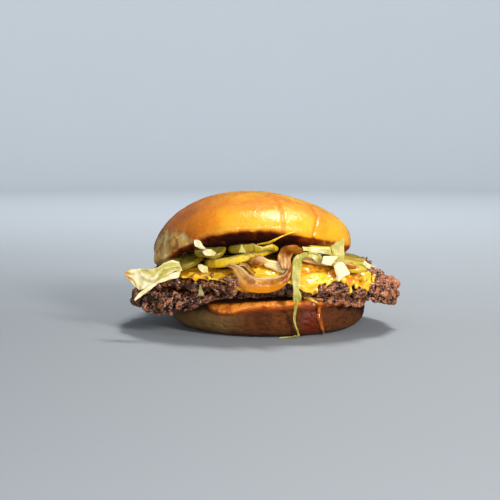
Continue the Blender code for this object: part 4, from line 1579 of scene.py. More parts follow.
@dataclass
class Cheese:
    """Melted cheese over the upper patty."""

    node: str = "cheese"
    voxel: float = 0.7
    ball_gap: float = 0.7
    # Patches stained with fat, as seen: middle, half width and half height, and strength.
    stains: Fives = (
        (37.0, 34.0, 7.0, 4.0, 0.8), (25.0, 34.8, 8.0, 2.2, 0.8), (43.0, 31.5, 8.0, 3.6, 0.9),
    )
    finish: Finish = field(default_factory=MeltedCheese)
    # Runs and rolls over the meat, as seen: both ends and the width.
    runs: Fives = (
        (31.5, 33.0, 31.5, 30.0, 4.0), (34.5, 33.5, 34.5, 28.6, 4.4), (37.6, 34.0, 37.6, 28.8, 4.4),
        (40.3, 34.0, 40.3, 23.6, 4.2), (43.4, 33.5, 43.4, 26.2, 4.4), (46.4, 33.0, 46.4, 25.8, 4.2),
        (49.2, 32.0, 49.2, 25.0, 4.4), (51.6, 31.5, 51.6, 27.0, 3.4), (-34.0, 31.0, -34.0, 27.4, 3.0),
        (-28.0, 30.4, -28.0, 26.6, 2.4), (-39.5, 31.0, -39.5, 28.2, 2.4),
        (-5.7, 34.3, 3.9, 33.6, 4.4), (-6.2, 31.9, 4.8, 31.9, 3.0),
        (37.6, 31.4, 49.6, 30.9, 3.4), (37.1, 29.4, 48.7, 27.0, 3.2), (17.9, 24.6, 27.5, 25.1, 2.6),
    )

    def rolls(self, ground: Ground) -> list[tuple[Array, Array]]:
        """Balls in rows along the runs, which grow smaller towards each run's end.

        Args:
            ground: The meat that they lie on.

        Returns:
            Sets of corners and triangles.
        """
        solid = tree_of(self.node)
        ground.trees.append(solid)
        unit, faces = ball(2)
        sets = []
        for *start, x, z, width in self.runs:
            low = np.linspace(0, 1, max(3, int(math.dist(start, (x, z)) / self.ball_gap)))
            places = np.array(start) + low[:, None] * (np.array((x, z)) - start)
            places[:, 0] += 0.3 * np.sin(places[:, 1] + x)
            seats = EYE + sight_lines(places) * ground.depths(places)[:, None]
            for share, seat in zip(low, seats):
                if np.isfinite(seat).all():
                    size = 0.5 * width * (0.78 + 0.22 * math.cos(math.pi * share))
                    sets.append((unit * (size, 0.5 * size, size) + seat, faces))
        ground.trees.remove(solid)
        return sets

    def build(self, ground: Ground) -> Object:
        """Builds and dresses the cheese.

        Args:
            ground: The meat that it lies on.

        Returns:
            The finished object.
        """
        form = Form(f"{self.node}_dressed", *joined([node_arrays(self.node), *self.rolls(ground)]))
        form.voxels(self.voxel).relax(6)
        points, normals = form.points, form.normals
        place = seen(points)
        front = smooth(0.3, -0.2, normals[:, 1]) * (points[:, 1] < -25)
        right_lobe = bell(place[:, 0], 23.5, 6.5) * bell(place[:, 1], 30.0, 6.0) * front
        folds = np.sin((place[:, 1] - 0.18 * place[:, 0]) * TAU / 4.4)
        height = 0.45 * cloud(points, 9, 21) + 0.25 * cloud(points * (1, 1, 0.6), 3.6, 22)
        height += 0.6 * folds * right_lobe
        drips = np.sin((place[:, 0] + 0.6 * cloud(points, 6, 26)) * TAU / 5.2) + 1.2 * cloud(points, 2.8, 27)
        height += 0.4 * drips * bell(place[:, 0], 44, 11) * front
        height += 0.5 * cloud(points * (1, 1, 1.8), 4.0, 28) * smooth(-8, -16, place[:, 0]) * front
        form.swell(height)
        oil = 0.35 + 0.5 * cloud(points, 8, 23) + 0.45 * bell(place[:, 0], -35, 8)
        for x, z, half_width, half_height, strength in self.stains:
            oil += strength * bell(place[:, 0], x, half_width) * bell(place[:, 1], z, half_height)
        # Amber in the hollows and low on the left: painted shade.
        oil += 0.5 * form.hollows(10, 0.5) + 0.8 * smooth(30.5, 27.0, place[:, 1]) * smooth(8, 0, place[:, 0])
        form.keep("oil", np.clip(oil, 0, 1))
        return form.dress(self.finish, self.node)


@dataclass
class Gherkin:
    """One gherkin slice."""

    node: str
    shade: float = 0.0
    thicker: float = 1.0
    drop: float = 0.0  # how far it is lowered
    tip: float = 0.0  # degrees that its back edge is raised
    # Where its right-hand end starts, and to what shares of its length and thickness that is drawn in.
    ends: tuple[float, float, float] = (99.0, 1.0, 1.0)
    rise: float = 0.0  # how far its right-hand end is raised
    uncurl: float = 0.0  # how much of a curl is taken out of that end
    seeds: int = 16
    far_dark: float = 0.0  # painted shade on its farther side
    shift: tuple[float, float] = (0.0, 0.0)  # in x and z
    voxel: float = 0.5
    sectors: int = 36
    finish: Finish = field(default_factory=PickledGherkin)

    def seed_marks(self, local: Array, reach: float, draw: np.random.Generator) -> Array:
        """How much each corner belongs to a seed.

        Args:
            local: The corners along the slice's own axes.
            reach: The slice's radius.
            draw: Where the random places come from.

        Returns:
            One value to a corner, from 0 to 1.
        """
        marks = np.zeros(len(local))
        for _ in range(self.seeds):
            at, out = draw.uniform(0, TAU), reach * draw.uniform(0.3, 0.62)
            way = np.array((math.cos(at), math.sin(at)))
            flat = local[:, :2] - out * way
            along, across = flat @ way, flat @ (way[::-1] * (1, -1))
            marks = np.maximum(marks, smooth(1.1, 0.7, np.hypot(along / 1.7, across / 0.75)))
        return marks

    def posed(self, local: Array, axes: Array, centre: Array, past: Array) -> Array:
        """The corners after the slice is thickened, tipped, moved and drawn in at its end.

        Args:
            local: The corners along the slice's own axes.
            axes: Those axes, one to a column.
            centre: The slice's middle.
            past: How far each corner lies past the start of the right-hand end.

        Returns:
            The corners' new places.
        """
        _, length_left, thickness_left = self.ends
        local[:, 2] *= self.thicker * (1 - (1 - thickness_left) * smooth(0, 12, past))
        shaped = local @ axes.T
        lean = math.radians(self.tip)
        y, z = shaped[:, 1].copy(), shaped[:, 2].copy()
        shaped[:, 1] = y * math.cos(lean) - z * math.sin(lean)
        shaped[:, 2] = y * math.sin(lean) + z * math.cos(lean) - self.drop
        shaped += centre + (self.shift[0], 0, self.shift[1])
        shaped[:, 2] += self.rise * smooth(-22, 6, shaped[:, 0]) - self.uncurl * past
        shaped[:, 0] -= (1 - length_left) * past
        return shaped

    def build(self) -> Object:
        """Builds and dresses the slice.

        Returns:
            The finished object.
        """
        seed = 30 + int(self.node[-1])
        form = Form.from_node(self.node).voxels(self.voxel).relax(6)
        points = form.points
        centre = points.mean(0)
        axes = np.linalg.eigh(np.cov((points - centre).T))[1][:, ::-1]
        local = (points - centre) @ axes
        turn, radius = polar(local)
        share = radius / rim_at(turn, rim_of(turn, radius, self.sectors))
        skin = smooth(0.925, 0.965, share)
        seeds = self.seed_marks(local, radius.max(), np.random.default_rng(seed)) * (1 - skin)
        start, length_left, _ = self.ends
        past = np.maximum(points[:, 0] - start, 0)
        form.put(self.posed(local, axes, centre, past))
        bumps, _ = knobs(points, 2.4, seed)
        height = 0.16 * cloud(points, 4.5, seed) + 0.22 * np.maximum(bumps, 0) * skin + 0.15 * seeds
        height -= 0.25 * bell(share, 0.88, 0.05)
        form.swell(height * (1 - 0.8 * (length_left < 1) * smooth(0, 6, past)))
        depth = (points[:, 1] - points[:, 1].min()) / np.ptp(points[:, 1])
        cut_edge = 0.9 * skin * smooth(0.3, 0.8, form.normals[:, 2])
        form.keep("skin", skin * (1 - cut_edge)).keep("seed", np.maximum(seeds, cut_edge))
        form.keep("shaded", np.maximum(self.shade, self.far_dark * smooth(0.35, 0.8, depth)))
        return form.dress(self.finish, self.node)


@dataclass
class Strip:
    """A strip laid over the filling, given as rungs between its two edges, as seen."""

    node: str
    rungs: tuple[Rung, ...]
    thickness: float = 0.7
    step: float = 0.45  # between its corners
    clear: float = 0.15  # how far it stays off what it lies on
    crisp: bool = True  # whether its edges are straight from rung to rung
    ragged: float = 0.12  # how far its edges are shaken
    back: float = math.inf  # the farthest back that it may lie, in y
    settled: float = 6.0  # the farthest that it's moved back to touch what it lies on

    def lattice(self, seed: int) -> Array:
        """Seen places over the strip.

        Args:
            seed: Which noise its edges have.

        Returns:
            The places, as (rows, columns, 2).
        """
        rungs = np.array(self.rungs)
        middle = (rungs[:, :2] + rungs[:, 2:]) / 2
        length = np.concatenate(([0], np.cumsum(np.linalg.norm(np.diff(middle, axis=0), axis=1))))
        rows = max(6, int(length[-1] / self.step))
        if self.crisp:
            even = np.linspace(0, length[-1], rows)
            edges = np.stack([np.interp(even, length, rungs[:, k]) for k in range(4)], 1)
        else:
            edges = spline(self.rungs, rows)
        wide = np.linalg.norm(rungs[:, :2] - rungs[:, 2:], axis=1).max()
        share = np.linspace(0, 1, max(5, int(wide / self.step)) | 1)[None, :, None]
        places = edges[:, None, :2] * (1 - share) + edges[:, None, 2:] * share
        flat = np.concatenate((places, np.zeros_like(places[..., :1])), 2).reshape(-1, 3)
        shake = np.stack([cloud(flat, 1.4, seed + k) for k in (7, 8)], 1).reshape(places.shape)
        return places + self.ragged * shake

    def lay(self, ground: Ground, seed: int) -> tuple[Array, Array]:
        """The strip's underside, and the way that it faces.

        Args:
            ground: What it lies on.
            seed: Which noise its edges have.

        Returns:
            Two grids, as (rows, columns, 3).
        """
        places = self.lattice(seed)
        own = Ground()
        own.trees.append(tree_of(self.node))
        cover = ground.depths(places) - self.clear
        known = own.depths(places)
        depths = np.minimum(filled(known if np.isfinite(known).any() else cover), cover)
        depths = np.minimum(depths, (self.back - EYE[1]) / sight_lines(places)[..., 1])
        apart = np.percentile((cover - depths)[np.isfinite(cover)], 5)
        depths += np.clip(apart, 0, self.settled)
        for _ in range(3):
            ease(depths)
            depths = np.minimum(depths, cover)
        points = EYE + sight_lines(places) * depths[..., None]
        out = np.cross(np.gradient(points, axis=0), np.gradient(points, axis=1))
        out /= np.maximum(np.linalg.norm(out, axis=2, keepdims=True), 1e-9)
        facing = np.einsum("rck,rck->rc", out, sight_lines(places)) > 0
        out[facing] *= -1
        for _ in range(4):
            ease(out)
        return points, out / np.linalg.norm(out, axis=2, keepdims=True)

    def shares(self, points: Array) -> tuple[Array, Array]:
        """The places across the strip, from -1 to 1, and along it, from 0 to 1."""
        rows, columns, _ = points.shape
        return np.linspace(-1, 1, columns)[None], np.linspace(0, 1, rows)[:, None]


@dataclass
class Onion(Strip):
    """A soft, translucent onion strip with its layers' lines along it."""

    thickness: float = 1.4
    clear: float = 0.0
    crisp: bool = False
    ragged: float = 0.1
    browned: tuple[float, float] = (0.1, 0.5)  # how brown its middle and its edges are
    cream_and_highlight: tuple[float, float] = (0.0, 0.0)  # at its two ends
    # rim also sets a painted highlight along that edge.
    rim: float = 0.0  # how far its second edge stands up
    lines: float = 2.5
    # More layers of the same piece, which show beside the first.
    layers: tuple[tuple[Rung, ...], ...] = ()
    finish: Finish = field(default_factory=SoftOnion)

    def layer(self, ground: Ground, seed: int) -> tuple[Array, list[list[int]], Array]:
        """One layer's corners, faces, and the places across and along it and its ridges.

        Args:
            ground: What it lies on.
            seed: Which noise its edges have.

        Returns:
            Corners, faces, and three values to a corner.
        """
        points, out = self.lay(ground, seed)
        across, run = self.shares(points)
        end = tapered(run, 12)
        round_edge = np.sqrt(np.clip(1 - np.abs(across) ** 3, 0, 1))
        ridge = 0.5 + 0.5 * np.cos(across * math.pi * self.lines)
        thick = self.thickness * (0.25 + 0.75 * round_edge * end) + 0.12 * ridge * round_edge
        thick = thick + self.rim * bell(across, 0.72, 0.22) * end
        lift = 0.35 * self.thickness * (across**2 - 0.3)
        front = points + out * (thick + lift)[..., None]
        values = np.stack(np.broadcast_arrays(across, run, ridge), 2).reshape(-1, 3)
        corners, faces = slab(front, points + out * lift[..., None] * 0.5)
        return corners, faces, np.concatenate((values, values))

    def build(self, ground: Ground) -> Object:
        """Builds and dresses the strip.

        Args:
            ground: What it lies on.

        Returns:
            The finished object.
        """
        seed = 40 + int(self.node[-1])
        corners, faces, values = self.layer(ground, seed)
        for number, rungs in enumerate(self.layers):
            more = replace(self, rungs=rungs, layers=(), thickness=0.8 * self.thickness)
            points, sides, kept = more.layer(ground, seed + number + 5)
            faces += [[k + len(corners) for k in side] for side in sides]
            corners, values = np.concatenate((corners, points)), np.concatenate((values, kept))
        form = Form(f"{self.node}_dressed", corners, faces)
        for number, name in enumerate(("across", "run", "line")):
            form.keep(name, values[:, number])
        form.refine(1)
        form.swell(0.14 * cloud(form.points, 3.2, seed + 1) + 0.05 * cloud(form.points, 1.0, seed + 2))
        place, across, run = form.points, form.kept("across"), form.kept("run")
        middle, edges = self.browned
        patches = 0.5 + 0.9 * cloud(place, 4.2, seed + 3)
        edge = np.abs(across) ** 3
        brown = middle * patches + edges * edge * patches + 0.5 * (bell(run, 0, 0.05) + bell(run, 1, 0.05))
        start, end = self.cream_and_highlight
        # Cream towards one end is the onion's own colour; along the raised edge it is a painted highlight.
        cream_and_highlight = start + (end - start) * smooth(0.0, 0.6, run) + self.rim * bell(across, 0.72, 0.2)
        form.keep("browned", np.clip(brown, 0, 1)).keep("cream_and_highlight", np.clip(cream_and_highlight, 0, 1))
        form.keep("cheesy", smooth(30.5, 26.5, place[:, 2] + 0.8 * cloud(place, 4.0, seed + 4)))
        return form.dress(self.finish, self.node)


@dataclass
class Shred(Strip):
    """A crisp lettuce shred."""

    crumple: float = 0.35
    pleats: float = 0.0  # height of the folds along it
    greener: tuple[float, float] = (0.25, 0.6)  # at its two ends
    rust: float = 0.0
    dim: float = 0.0  # how far its colour is drawn towards a grey olive
    finish: Finish = field(default_factory=CrispLeaf)

    def build(self, ground: Ground) -> Object:
        """Builds and dresses the shred.

        Args:
            ground: What it lies on.

        Returns:
            The finished object.
        """
        seed = 50 + int(self.node.split("_")[1])
        points, out = self.lay(ground, seed)
        rows, columns, _ = points.shape
        flat = points.reshape(-1, 3)
        wave = 1.1 * np.abs(cloud(flat, 5.5, seed)) + 0.5 * cloud(flat, 2.6, seed + 1) + 0.3
        wave = (self.crumple * np.maximum(wave, 0)).reshape(rows, columns)
        turn = 1.9 * np.linspace(0, 1, columns) + 0.9 * cloud(flat, 8, seed + 2).reshape(rows, columns)
        pleat = 0.5 + 0.5 * np.cos(TAU * turn)
        wave += self.pleats * pleat * np.linspace(0.4, 1.3, rows)[:, None]
        front = points + out * (wave + self.thickness)[..., None]
        back = points + out * wave[..., None]
        form = Form(f"{self.node}_dressed", *slab(front, back))
        form.keep("along", np.tile(np.repeat(np.linspace(0, 1, rows), columns), 2))
        form.keep("pleat", np.tile(pleat.ravel(), 2)).refine(1)
        place, along = form.points, form.kept("along")
        start, end = self.greener
        ribs = 0.45 * self.pleats * (0.5 - form.kept("pleat"))
        form.keep("greener", start + (end - start) * along + ribs).keep("dim", self.dim + 0 * along)
        form.keep("rust", self.rust * smooth(0.80, 1.0, along + 0.1 * cloud(place, 3, seed + 5)))
        return form.dress(self.finish, self.node)


@dataclass
class BackShred:
    """A lettuce or onion strip behind the crown, which keeps its solid's form."""

    node: str
    finish: Finish
    crumple: float = 0.7
    greener: tuple[float, float] = (0.2, 0.6)

    def build(self) -> Object:
        """Builds and dresses the strip.

        Returns:
            The finished object.
        """
        seed = 50 + int(self.node.split("_")[1])
        form = Form.from_node(self.node).quads().refine(3)
        form.swell(-0.1)
        points = form.points
        centre = points.mean(0)
        axes = np.linalg.eigh(np.cov((points - centre).T))[1]
        along = (points - centre) @ axes[:, 2]
        along = (along - along.min()) / (along.max() - along.min())
        move = np.stack([0.35 * cloud(points, 4.0, seed + k) for k in (1, 2, 3)], 1)
        move += axes[:, 0] * (2 * np.abs(cloud(points, 6.5, seed)) - 0.3)[:, None]
        form.put(points + self.crumple * move)
        start, end = self.greener
        form.keep("greener", start + (end - start) * along)
        form.keep("browned", 0.3 + 0.5 * cloud(points, 5, seed))
        form.keep("line", 0.5 + 0.5 * cloud(points, 2, seed))
        for name in ("rust", "dim", "cheesy", "cream_and_highlight"):
            form.keep(name, 0 * along)
        return form.dress(self.finish, self.node)


@dataclass
class Crumbs:
    """Loose bits of seared mince on the cheese and the meat."""

    seed: int = 5
    # Clusters, as seen: x, z, spread, number, size.
    clusters: tuple[tuple[float, float, float, int, float], ...] = (
        (-15.0, 29.5, 3.6, 30, 1.5), (-26.0, 29.0, 4.0, 14, 1.0), (56.0, 26.0, 3.4, 14, 1.0),
        (27.5, 24.0, 2.6, 14, 1.2), (30.0, 31.0, 5.0, 6, 0.6),
        (4.0, 31.0, 6.0, 4, 0.5), (-20.0, 33.5, 4.0, 6, 0.6),
    )
    finish: Finish = field(default_factory=SearedMince)

    # Crisp twigs beside the right-hand slice, as seen.
    twigs: Path = (
        (46.4, 40.2), (47.3, 39.6), (48.3, 39.1), (49.0, 38.4), (50.0, 38.9), (48.3, 39.8), (49.5, 37.7),
    )

    def seats(self, ground: Ground) -> tuple[Array, Array]:
        """The clusters' middles and radii on the bare cheese and meat.

        Args:
            ground: The surfaces that the bits lie on.

        Returns:
            One middle and one radius to a bit.
        """
        draw = np.random.default_rng(self.seed)
        places, radii = [], []
        for x, z, spread, count, size in self.clusters:
            for _ in range(count):
                places.append((x + spread * draw.normal() * 0.6, z + spread * draw.normal() * 0.4))
            radii += [size * draw.uniform(0.45, 1.0) for _ in range(count)]
        places, radii = np.array(places), np.array(radii)
        depths = ground.depths(places)
        met = np.isfinite(depths)
        middles = EYE + sight_lines(places[met]) * (depths[met] - 0.25 * radii[met])[:, None]
        return middles, radii[met]

    def build(self, ground: Ground, seats: tuple[Array, Array]) -> Object:
        """Builds and dresses the bits.

        Args:
            ground: Everything that the twigs may grow from.
            seats: The clusters' middles and radii.

        Returns:
            The finished object.
        """
        draw = np.random.default_rng(self.seed + 1)
        centres, radii = seats
        sizes = radii[:, None] * draw.uniform(0.6, 1.3, (len(radii), 3))
        twigs = np.array([ground.beside(x, z) for x, z in self.twigs])
        centres = np.concatenate((centres, twigs))
        sizes = np.concatenate((sizes, [(1.5, 0.6, 0.5)] * len(twigs)))
        form = Form("mince_crumbs", *crowd(centres, sizes, draw)).voxels(0.35)
        points = form.points
        small, _ = knobs(points, 1.1, 61)
        form.swell(0.3 * small + 0.2 * cloud(points, 2.0, 62))
        _, tone = knobs(points, 2.0, 63)
        # Painted shade in the crumbs' hollows.
        form.keep("hollow", 0.5 * smooth(0.0, 0.9, form.hollows(6, 0.4))).keep("tone", 0.3 + 0.5 * tone)
        return form.dress(self.finish)


@dataclass
class FatRun(Strip):
    """The run of cheese fat from the cheese down the bread's front."""

    node: str = "heel"
    rungs: tuple[Rung, ...] = (
        (18.2, 21.2, 17.9, 19.9), (21.4, 20.8, 20.8, 19.2), (24.3, 19.5, 23.7, 17.3),
        (26.1, 17.3, 24.7, 14.7), (26.4, 14.0, 24.4, 12.7), (26.6, 11.4, 24.2, 10.7),
        (27.2, 8.8, 25.2, 8.1), (27.7, 5.8, 26.1, 5.5), (28.2, 3.9, 27.0, 3.4), (28.0, 2.4, 27.5, 2.4),
    )
    thickness: float = 1.1
    clear: float = -0.15
    crisp: bool = False
    finish: Finish = field(default_factory=CheeseFat)

    def build(self, ground: Ground) -> Object:
        """Builds and dresses the run.

        Args:
            ground: What it lies on.

        Returns:
            The finished object.
        """
        points, out = self.lay(ground, 17)
        across, run = self.shares(points)
        end = tapered(run, 12, -0.05, 1.02)
        beads = 1 + 0.35 * np.sin(run * 23)
        thick = self.thickness * np.sqrt(np.clip(1.02 - across**2, 0, 1)) * end * beads
        form = Form("cheese_fat_run", *slab(points + out * thick[..., None], points - 0.1 * out)).refine(1)
        form.keep("cheesy", smooth(15.5, 18.5, form.points[:, 2]))
        return form.dress(self.finish)


@dataclass
class Sliver(Strip):
    """The thin strip of skin that curls out past a gherkin slice."""

    node: str = "gherkin_2"
    rungs: tuple[Rung, ...] = (
        (-4.4, 47.0, -4.4, 46.3), (-1.9, 47.5, -1.9, 46.8), (1.0, 48.2, 1.0, 47.2), (3.4, 49.2, 3.6, 48.2),
        (5.8, 50.2, 6.0, 49.5), (8.2, 51.4, 8.3, 50.7), (10.5, 52.3, 10.6, 51.7), (12.5, 52.8, 12.6, 52.3),
        (13.7, 53.1, 13.8, 52.5),
    )
    thickness: float = 0.5
    clear: float = 0.2
    finish: Finish = field(default_factory=PickledGherkin)

    def build(self, ground: Ground) -> Object:
        """Builds and dresses the strip.

        Args:
            ground: What it lies on.

        Returns:
            The finished object.
        """
        points, out = self.lay(ground, 19)
        form = Form("gherkin_2_tip", *slab(points + self.thickness * out, points)).refine(1)
        none = np.zeros(len(form.points))
        form.keep("skin", none + 1).keep("seed", none).keep("shaded", none)
        return form.dress(self.finish)


@dataclass
class Pool(Strip):
    """The bright folds of cheese that show inside the onion ring."""

    node: str = "cheese"
    rungs: tuple[Rung, ...] = (
        (-8.9, 35.5, -8.1, 33.3), (-7.2, 36.2, -6.2, 30.9), (-4.3, 37.0, -3.3, 28.9),
        (-0.9, 37.0, -0.4, 28.5), (2.4, 35.7, 2.4, 28.7), (5.3, 34.3, 4.9, 29.4), (7.2, 32.8, 6.3, 30.6),
    )
    thickness: float = 1.3
    clear: float = 0.3
    crisp: bool = False
    folds: float = 0.8
    finish: Finish = field(default_factory=MeltedCheese)

    def build(self, ground: Ground) -> Object:
        """Builds and dresses the folds.

        Args:
            ground: What they lie on.

        Returns:
            The finished object.
        """
        points, out = self.lay(ground, 23)
        across, run = self.shares(points)
        end = tapered(run, 8)
        thick = self.thickness * np.sqrt(np.clip(1 - across**2, 0, 1)) * end
        wander = cloud(points.reshape(-1, 3), 7, 24).reshape(thick.shape)
        folds = np.cos(TAU * (1.1 * across + 0.5 * run + 0.3 * wander))
        thick = thick + self.folds * end * (1 - across**2) * folds
        form = Form("cheese_pool", *slab(points + out * thick[..., None], points - 0.3 * out)).refine(1)
        form.keep("oil", 0.15 + 0.5 * smooth(0.0, 0.8, cloud(form.points, 4, 25)))
        return form.dress(self.finish)


@dataclass
class Filling:
    """The gherkins, onions and lettuce."""

    gherkins: tuple[Gherkin, ...] = (
        Gherkin("gherkin_1", 0.0, 1.35, 0.6, rise=3.0, ends=(0.0, 0.8, 0.9)),
        Gherkin("gherkin_2", 0.6, 2.1, -0.2, ends=(-6.0, 0.55, 0.3), uncurl=0.2),
        Gherkin("gherkin_3", 0.85, 1.4, 0.0, 12.0, shift=(0.0, 1.5)),
        Gherkin("gherkin_4", 0.8, 1.5, 0.0, 16.0, shift=(2.5, 1.8)),
        Gherkin("gherkin_5", 0.4, 1.0, seeds=4, far_dark=0.8),
        Gherkin("gherkin_6", 0.0),
        Gherkin("gherkin_7", 0.0),
        Gherkin("gherkin_8", 0.15, 1.2, seeds=0, far_dark=0.9),
    )
    onions: tuple[Onion, ...] = (
        Onion("onion_2", (
            (-7.7, 40.3, -8.1, 38.2), (-4.3, 40.8, -4.8, 37.9), (-1.4, 40.6, -1.9, 37.0),
            (1.9, 39.4, 0.0, 35.7), (5.3, 38.6, 3.9, 34.3), (8.7, 37.7, 7.2, 32.8),
            (10.6, 36.2, 9.7, 32.8),
        ), browned=(0.0, 0.1), cream_and_highlight=(0.0, 1.0), back=-53.0, settled=0.0, lines=4.0),
        Onion("onion_1", (
            (-18.7, 35.7, -18.2, 37.4), (-15.8, 34.5, -14.9, 37.0), (-13.9, 29.9, -11.5, 35.7),
            (-12.7, 26.5, -8.6, 33.1), (-9.1, 23.8, -5.7, 31.4), (-2.8, 23.1, -1.9, 30.9),
            (2.0, 23.6, 2.0, 30.9), (6.3, 25.1, 5.3, 31.4), (10.2, 28.0, 8.2, 32.6),
            (12.1, 31.9, 9.4, 34.8), (12.3, 36.7, 9.2, 37.2), (11.5, 40.1, 8.2, 39.6),
        ), browned=(0.0, 0.05), cream_and_highlight=(0.3, 0.0), rim=0.8, back=-45.0, lines=3.0, layers=(
            (
                (-12.5, 37.4, -13.4, 36.2), (-10.1, 37.9, -10.8, 36.2), (-8.1, 36.7, -9.3, 35.0),
                (-6.7, 34.8, -7.9, 33.6), (-4.8, 33.1, -5.7, 31.9),
            ), (
                (-9.6, 38.2, -9.6, 36.2), (-5.3, 38.4, -5.3, 36.0), (-0.9, 37.7, -1.4, 35.5),
            ),
        )),
        Onion("onion_3", (
            (7.7, 34.3, 10.6, 34.3), (5.8, 37.7, 11.6, 36.7), (5.3, 40.6, 12.0, 39.1),
            (6.7, 44.0, 12.7, 40.8), (9.1, 45.7, 13.2, 42.0), (11.5, 46.3, 13.9, 42.6),
            (14.4, 46.1, 15.1, 43.0), (17.8, 44.7, 17.8, 42.8),
        ), browned=(0.6, 0.3), cream_and_highlight=(0.75, 0.0), back=-44.0, lines=3.0),
        # onion_4 is made creamy all along, as painted light where it lies in shade.
        Onion("onion_4", (
            (16.8, 40.9, 17.5, 38.6), (21.3, 41.6, 20.7, 37.4), (25.8, 40.9, 25.2, 36.7),
            (30.3, 39.6, 29.7, 36.1),
        ), browned=(0.0, 0.1), cream_and_highlight=(0.4, 0.4), back=-51.0),
        Onion("onion_5", (
            (33.5, 34.8, 33.5, 33.5), (36.1, 37.4, 36.4, 35.1), (39.3, 37.4, 39.9, 34.8),
            (43.1, 36.7, 43.5, 34.8),
        ), browned=(0.6, 0.5)),
    )
    shreds: tuple[Shred, ...] = (
        Shred("lettuce_1", (
            (-41.8, 38.6, -39.6, 33.6), (-46.4, 38.3, -43.9, 33.8), (-51.1, 36.2, -49.0, 30.6),
            (-55.1, 35.1, -52.9, 28.6), (-60.2, 34.8, -57.4, 25.7), (-64.4, 34.5, -61.0, 24.4),
            (-66.3, 34.3, -64.3, 28.3), (-67.3, 33.5, -67.2, 31.0),
        ), crumple=0.6, pleats=0.9, ragged=0.35, greener=(0.5, 0.35), rust=0.9),
        Shred("lettuce_2", (
            (-40.5, 34.6, -42.0, 30.6), (-45.5, 32.5, -46.5, 29.6), (-51.9, 29.3, -52.0, 27.5),
            (-57.4, 26.0, -56.2, 24.3), (-61.3, 23.0, -60.0, 21.5), (-63.6, 19.9, -63.1, 19.2),
        ), crumple=0.5, greener=(0.3, 0.1)),
        Shred("lettuce_3", (
            (-32.6, 49.3, -35.0, 47.7), (-31.2, 48.3, -34.2, 45.9), (-30.3, 46.4, -32.6, 45.1),
            (-28.5, 44.6, -30.7, 43.8),
        ), crumple=0.8, greener=(0.15, 0.4), settled=12.0),
        Shred("lettuce_4", (
            (-30.1, 43.8, -30.8, 42.8), (-28.5, 44.5, -29.4, 41.4), (-26.2, 44.3, -26.9, 41.1),
            (-24.8, 43.5, -25.3, 41.4), (-23.9, 42.6, -24.0, 42.2),
        ), crumple=0.8, greener=(0.15, 0.45)),
        Shred("lettuce_5", (
            (-12.0, 46.5, -11.5, 46.5), (-12.6, 44.5, -10.3, 44.3), (-13.3, 42.8, -9.1, 42.7),
        ), greener=(0.4, 0.6)),
        Shred("lettuce_6", (
            (-32.8, 37.0, -32.7, 35.3), (-30.9, 37.2, -30.6, 33.0), (-27.8, 35.9, -27.7, 32.8),
        ), crumple=0.8, greener=(0.05, 0.25), settled=12.0),
        Shred("lettuce_7", (
            (-31.9, 27.3, -31.4, 27.3), (-32.5, 24.4, -30.4, 24.4), (-32.9, 21.8, -29.6, 21.8),
        ), greener=(0.7, 0.2), dim=0.62, settled=12.0),
        Shred("lettuce_9", (
            (31.2, 44.5, 31.2, 41.7), (27.0, 45.0, 26.7, 42.1), (21.9, 45.4, 21.9, 42.8),
            (16.8, 45.6, 17.5, 43.7),
        ), greener=(0.6, 0.3)),
        Shred("lettuce_8", (
            (27.1, 40.3, 25.9, 37.7), (24.5, 42.8, 23.6, 38.3), (21.0, 43.5, 21.3, 40.3),
            (17.5, 42.8, 18.4, 40.7), (14.6, 41.9, 17.8, 39.9), (13.0, 39.9, 17.4, 38.3),
            (12.4, 36.7, 17.0, 35.4), (12.3, 32.8, 16.6, 31.5), (12.5, 28.9, 16.3, 27.7),
            (13.1, 25.1, 16.0, 24.4), (13.1, 22.8, 17.0, 22.5), (12.8, 19.7, 17.2, 20.1),
            (14.0, 18.2, 15.7, 18.9), (13.6, 16.0, 15.2, 16.0), (13.5, 14.0, 14.9, 14.0),
            (13.0, 11.4, 14.3, 11.4), (13.3, 8.8, 14.3, 9.1), (13.9, 6.2, 14.7, 6.8),
            (15.1, 3.7, 15.8, 4.2), (15.4, 1.5, 16.2, 1.6), (13.2, 0.3, 13.5, 1.2),
            (9.3, 0.1, 9.3, 0.8), (6.2, 0.1, 6.1, 0.5),
        ), greener=(0.75, 0.95)),
        Shred("lettuce_10", (
            (36.7, 49.2, 37.3, 49.8), (33.7, 47.8, 37.5, 47.0), (30.9, 45.7, 37.5, 44.5),
            (31.0, 42.8, 37.7, 42.4), (32.8, 40.6, 37.4, 40.6), (34.0, 38.3, 37.3, 37.7),
        ), greener=(0.75, 0.6)),
        Shred("lettuce_11", (
            (27.4, 41.1, 26.5, 37.3), (30.9, 41.1, 28.8, 36.8), (34.6, 40.9, 31.0, 36.3),
        ), greener=(0.1, 0.2)),
        Shred("lettuce_12", (
            (34.5, 38.3, 37.3, 38.0), (32.5, 36.4, 38.8, 35.7), (33.4, 33.5, 39.9, 33.5),
            (34.2, 31.2, 40.5, 32.1), (34.5, 29.5, 36.4, 31.0), (35.1, 28.9, 35.5, 29.1),
        ), greener=(0.0, 0.1)),
        Shred("lettuce_13", (
            (46.9, 39.2, 46.6, 37.0), (48.9, 37.7, 47.9, 35.3), (50.3, 36.4, 50.2, 34.6),
        ), greener=(0.1, 0.1)),
    )

    def build(self, ground: Ground) -> None:
        """Builds and dresses every slice, strip and shred.

        Args:
            ground: What they lie on, to which each is added.
        """
        for gherkin in self.gherkins:
            ground.add(gherkin.build())
        Sliver().build(ground)
        for strip in (Pool(), *self.onions, *self.shreds):
            ground.add(strip.build(ground))
        BackShred("onion_6", SoftOnion(), 0.3).build()
        for number in range(14, 18):
            BackShred(f"lettuce_{number}", CrispLeaf()).build()


# The studio


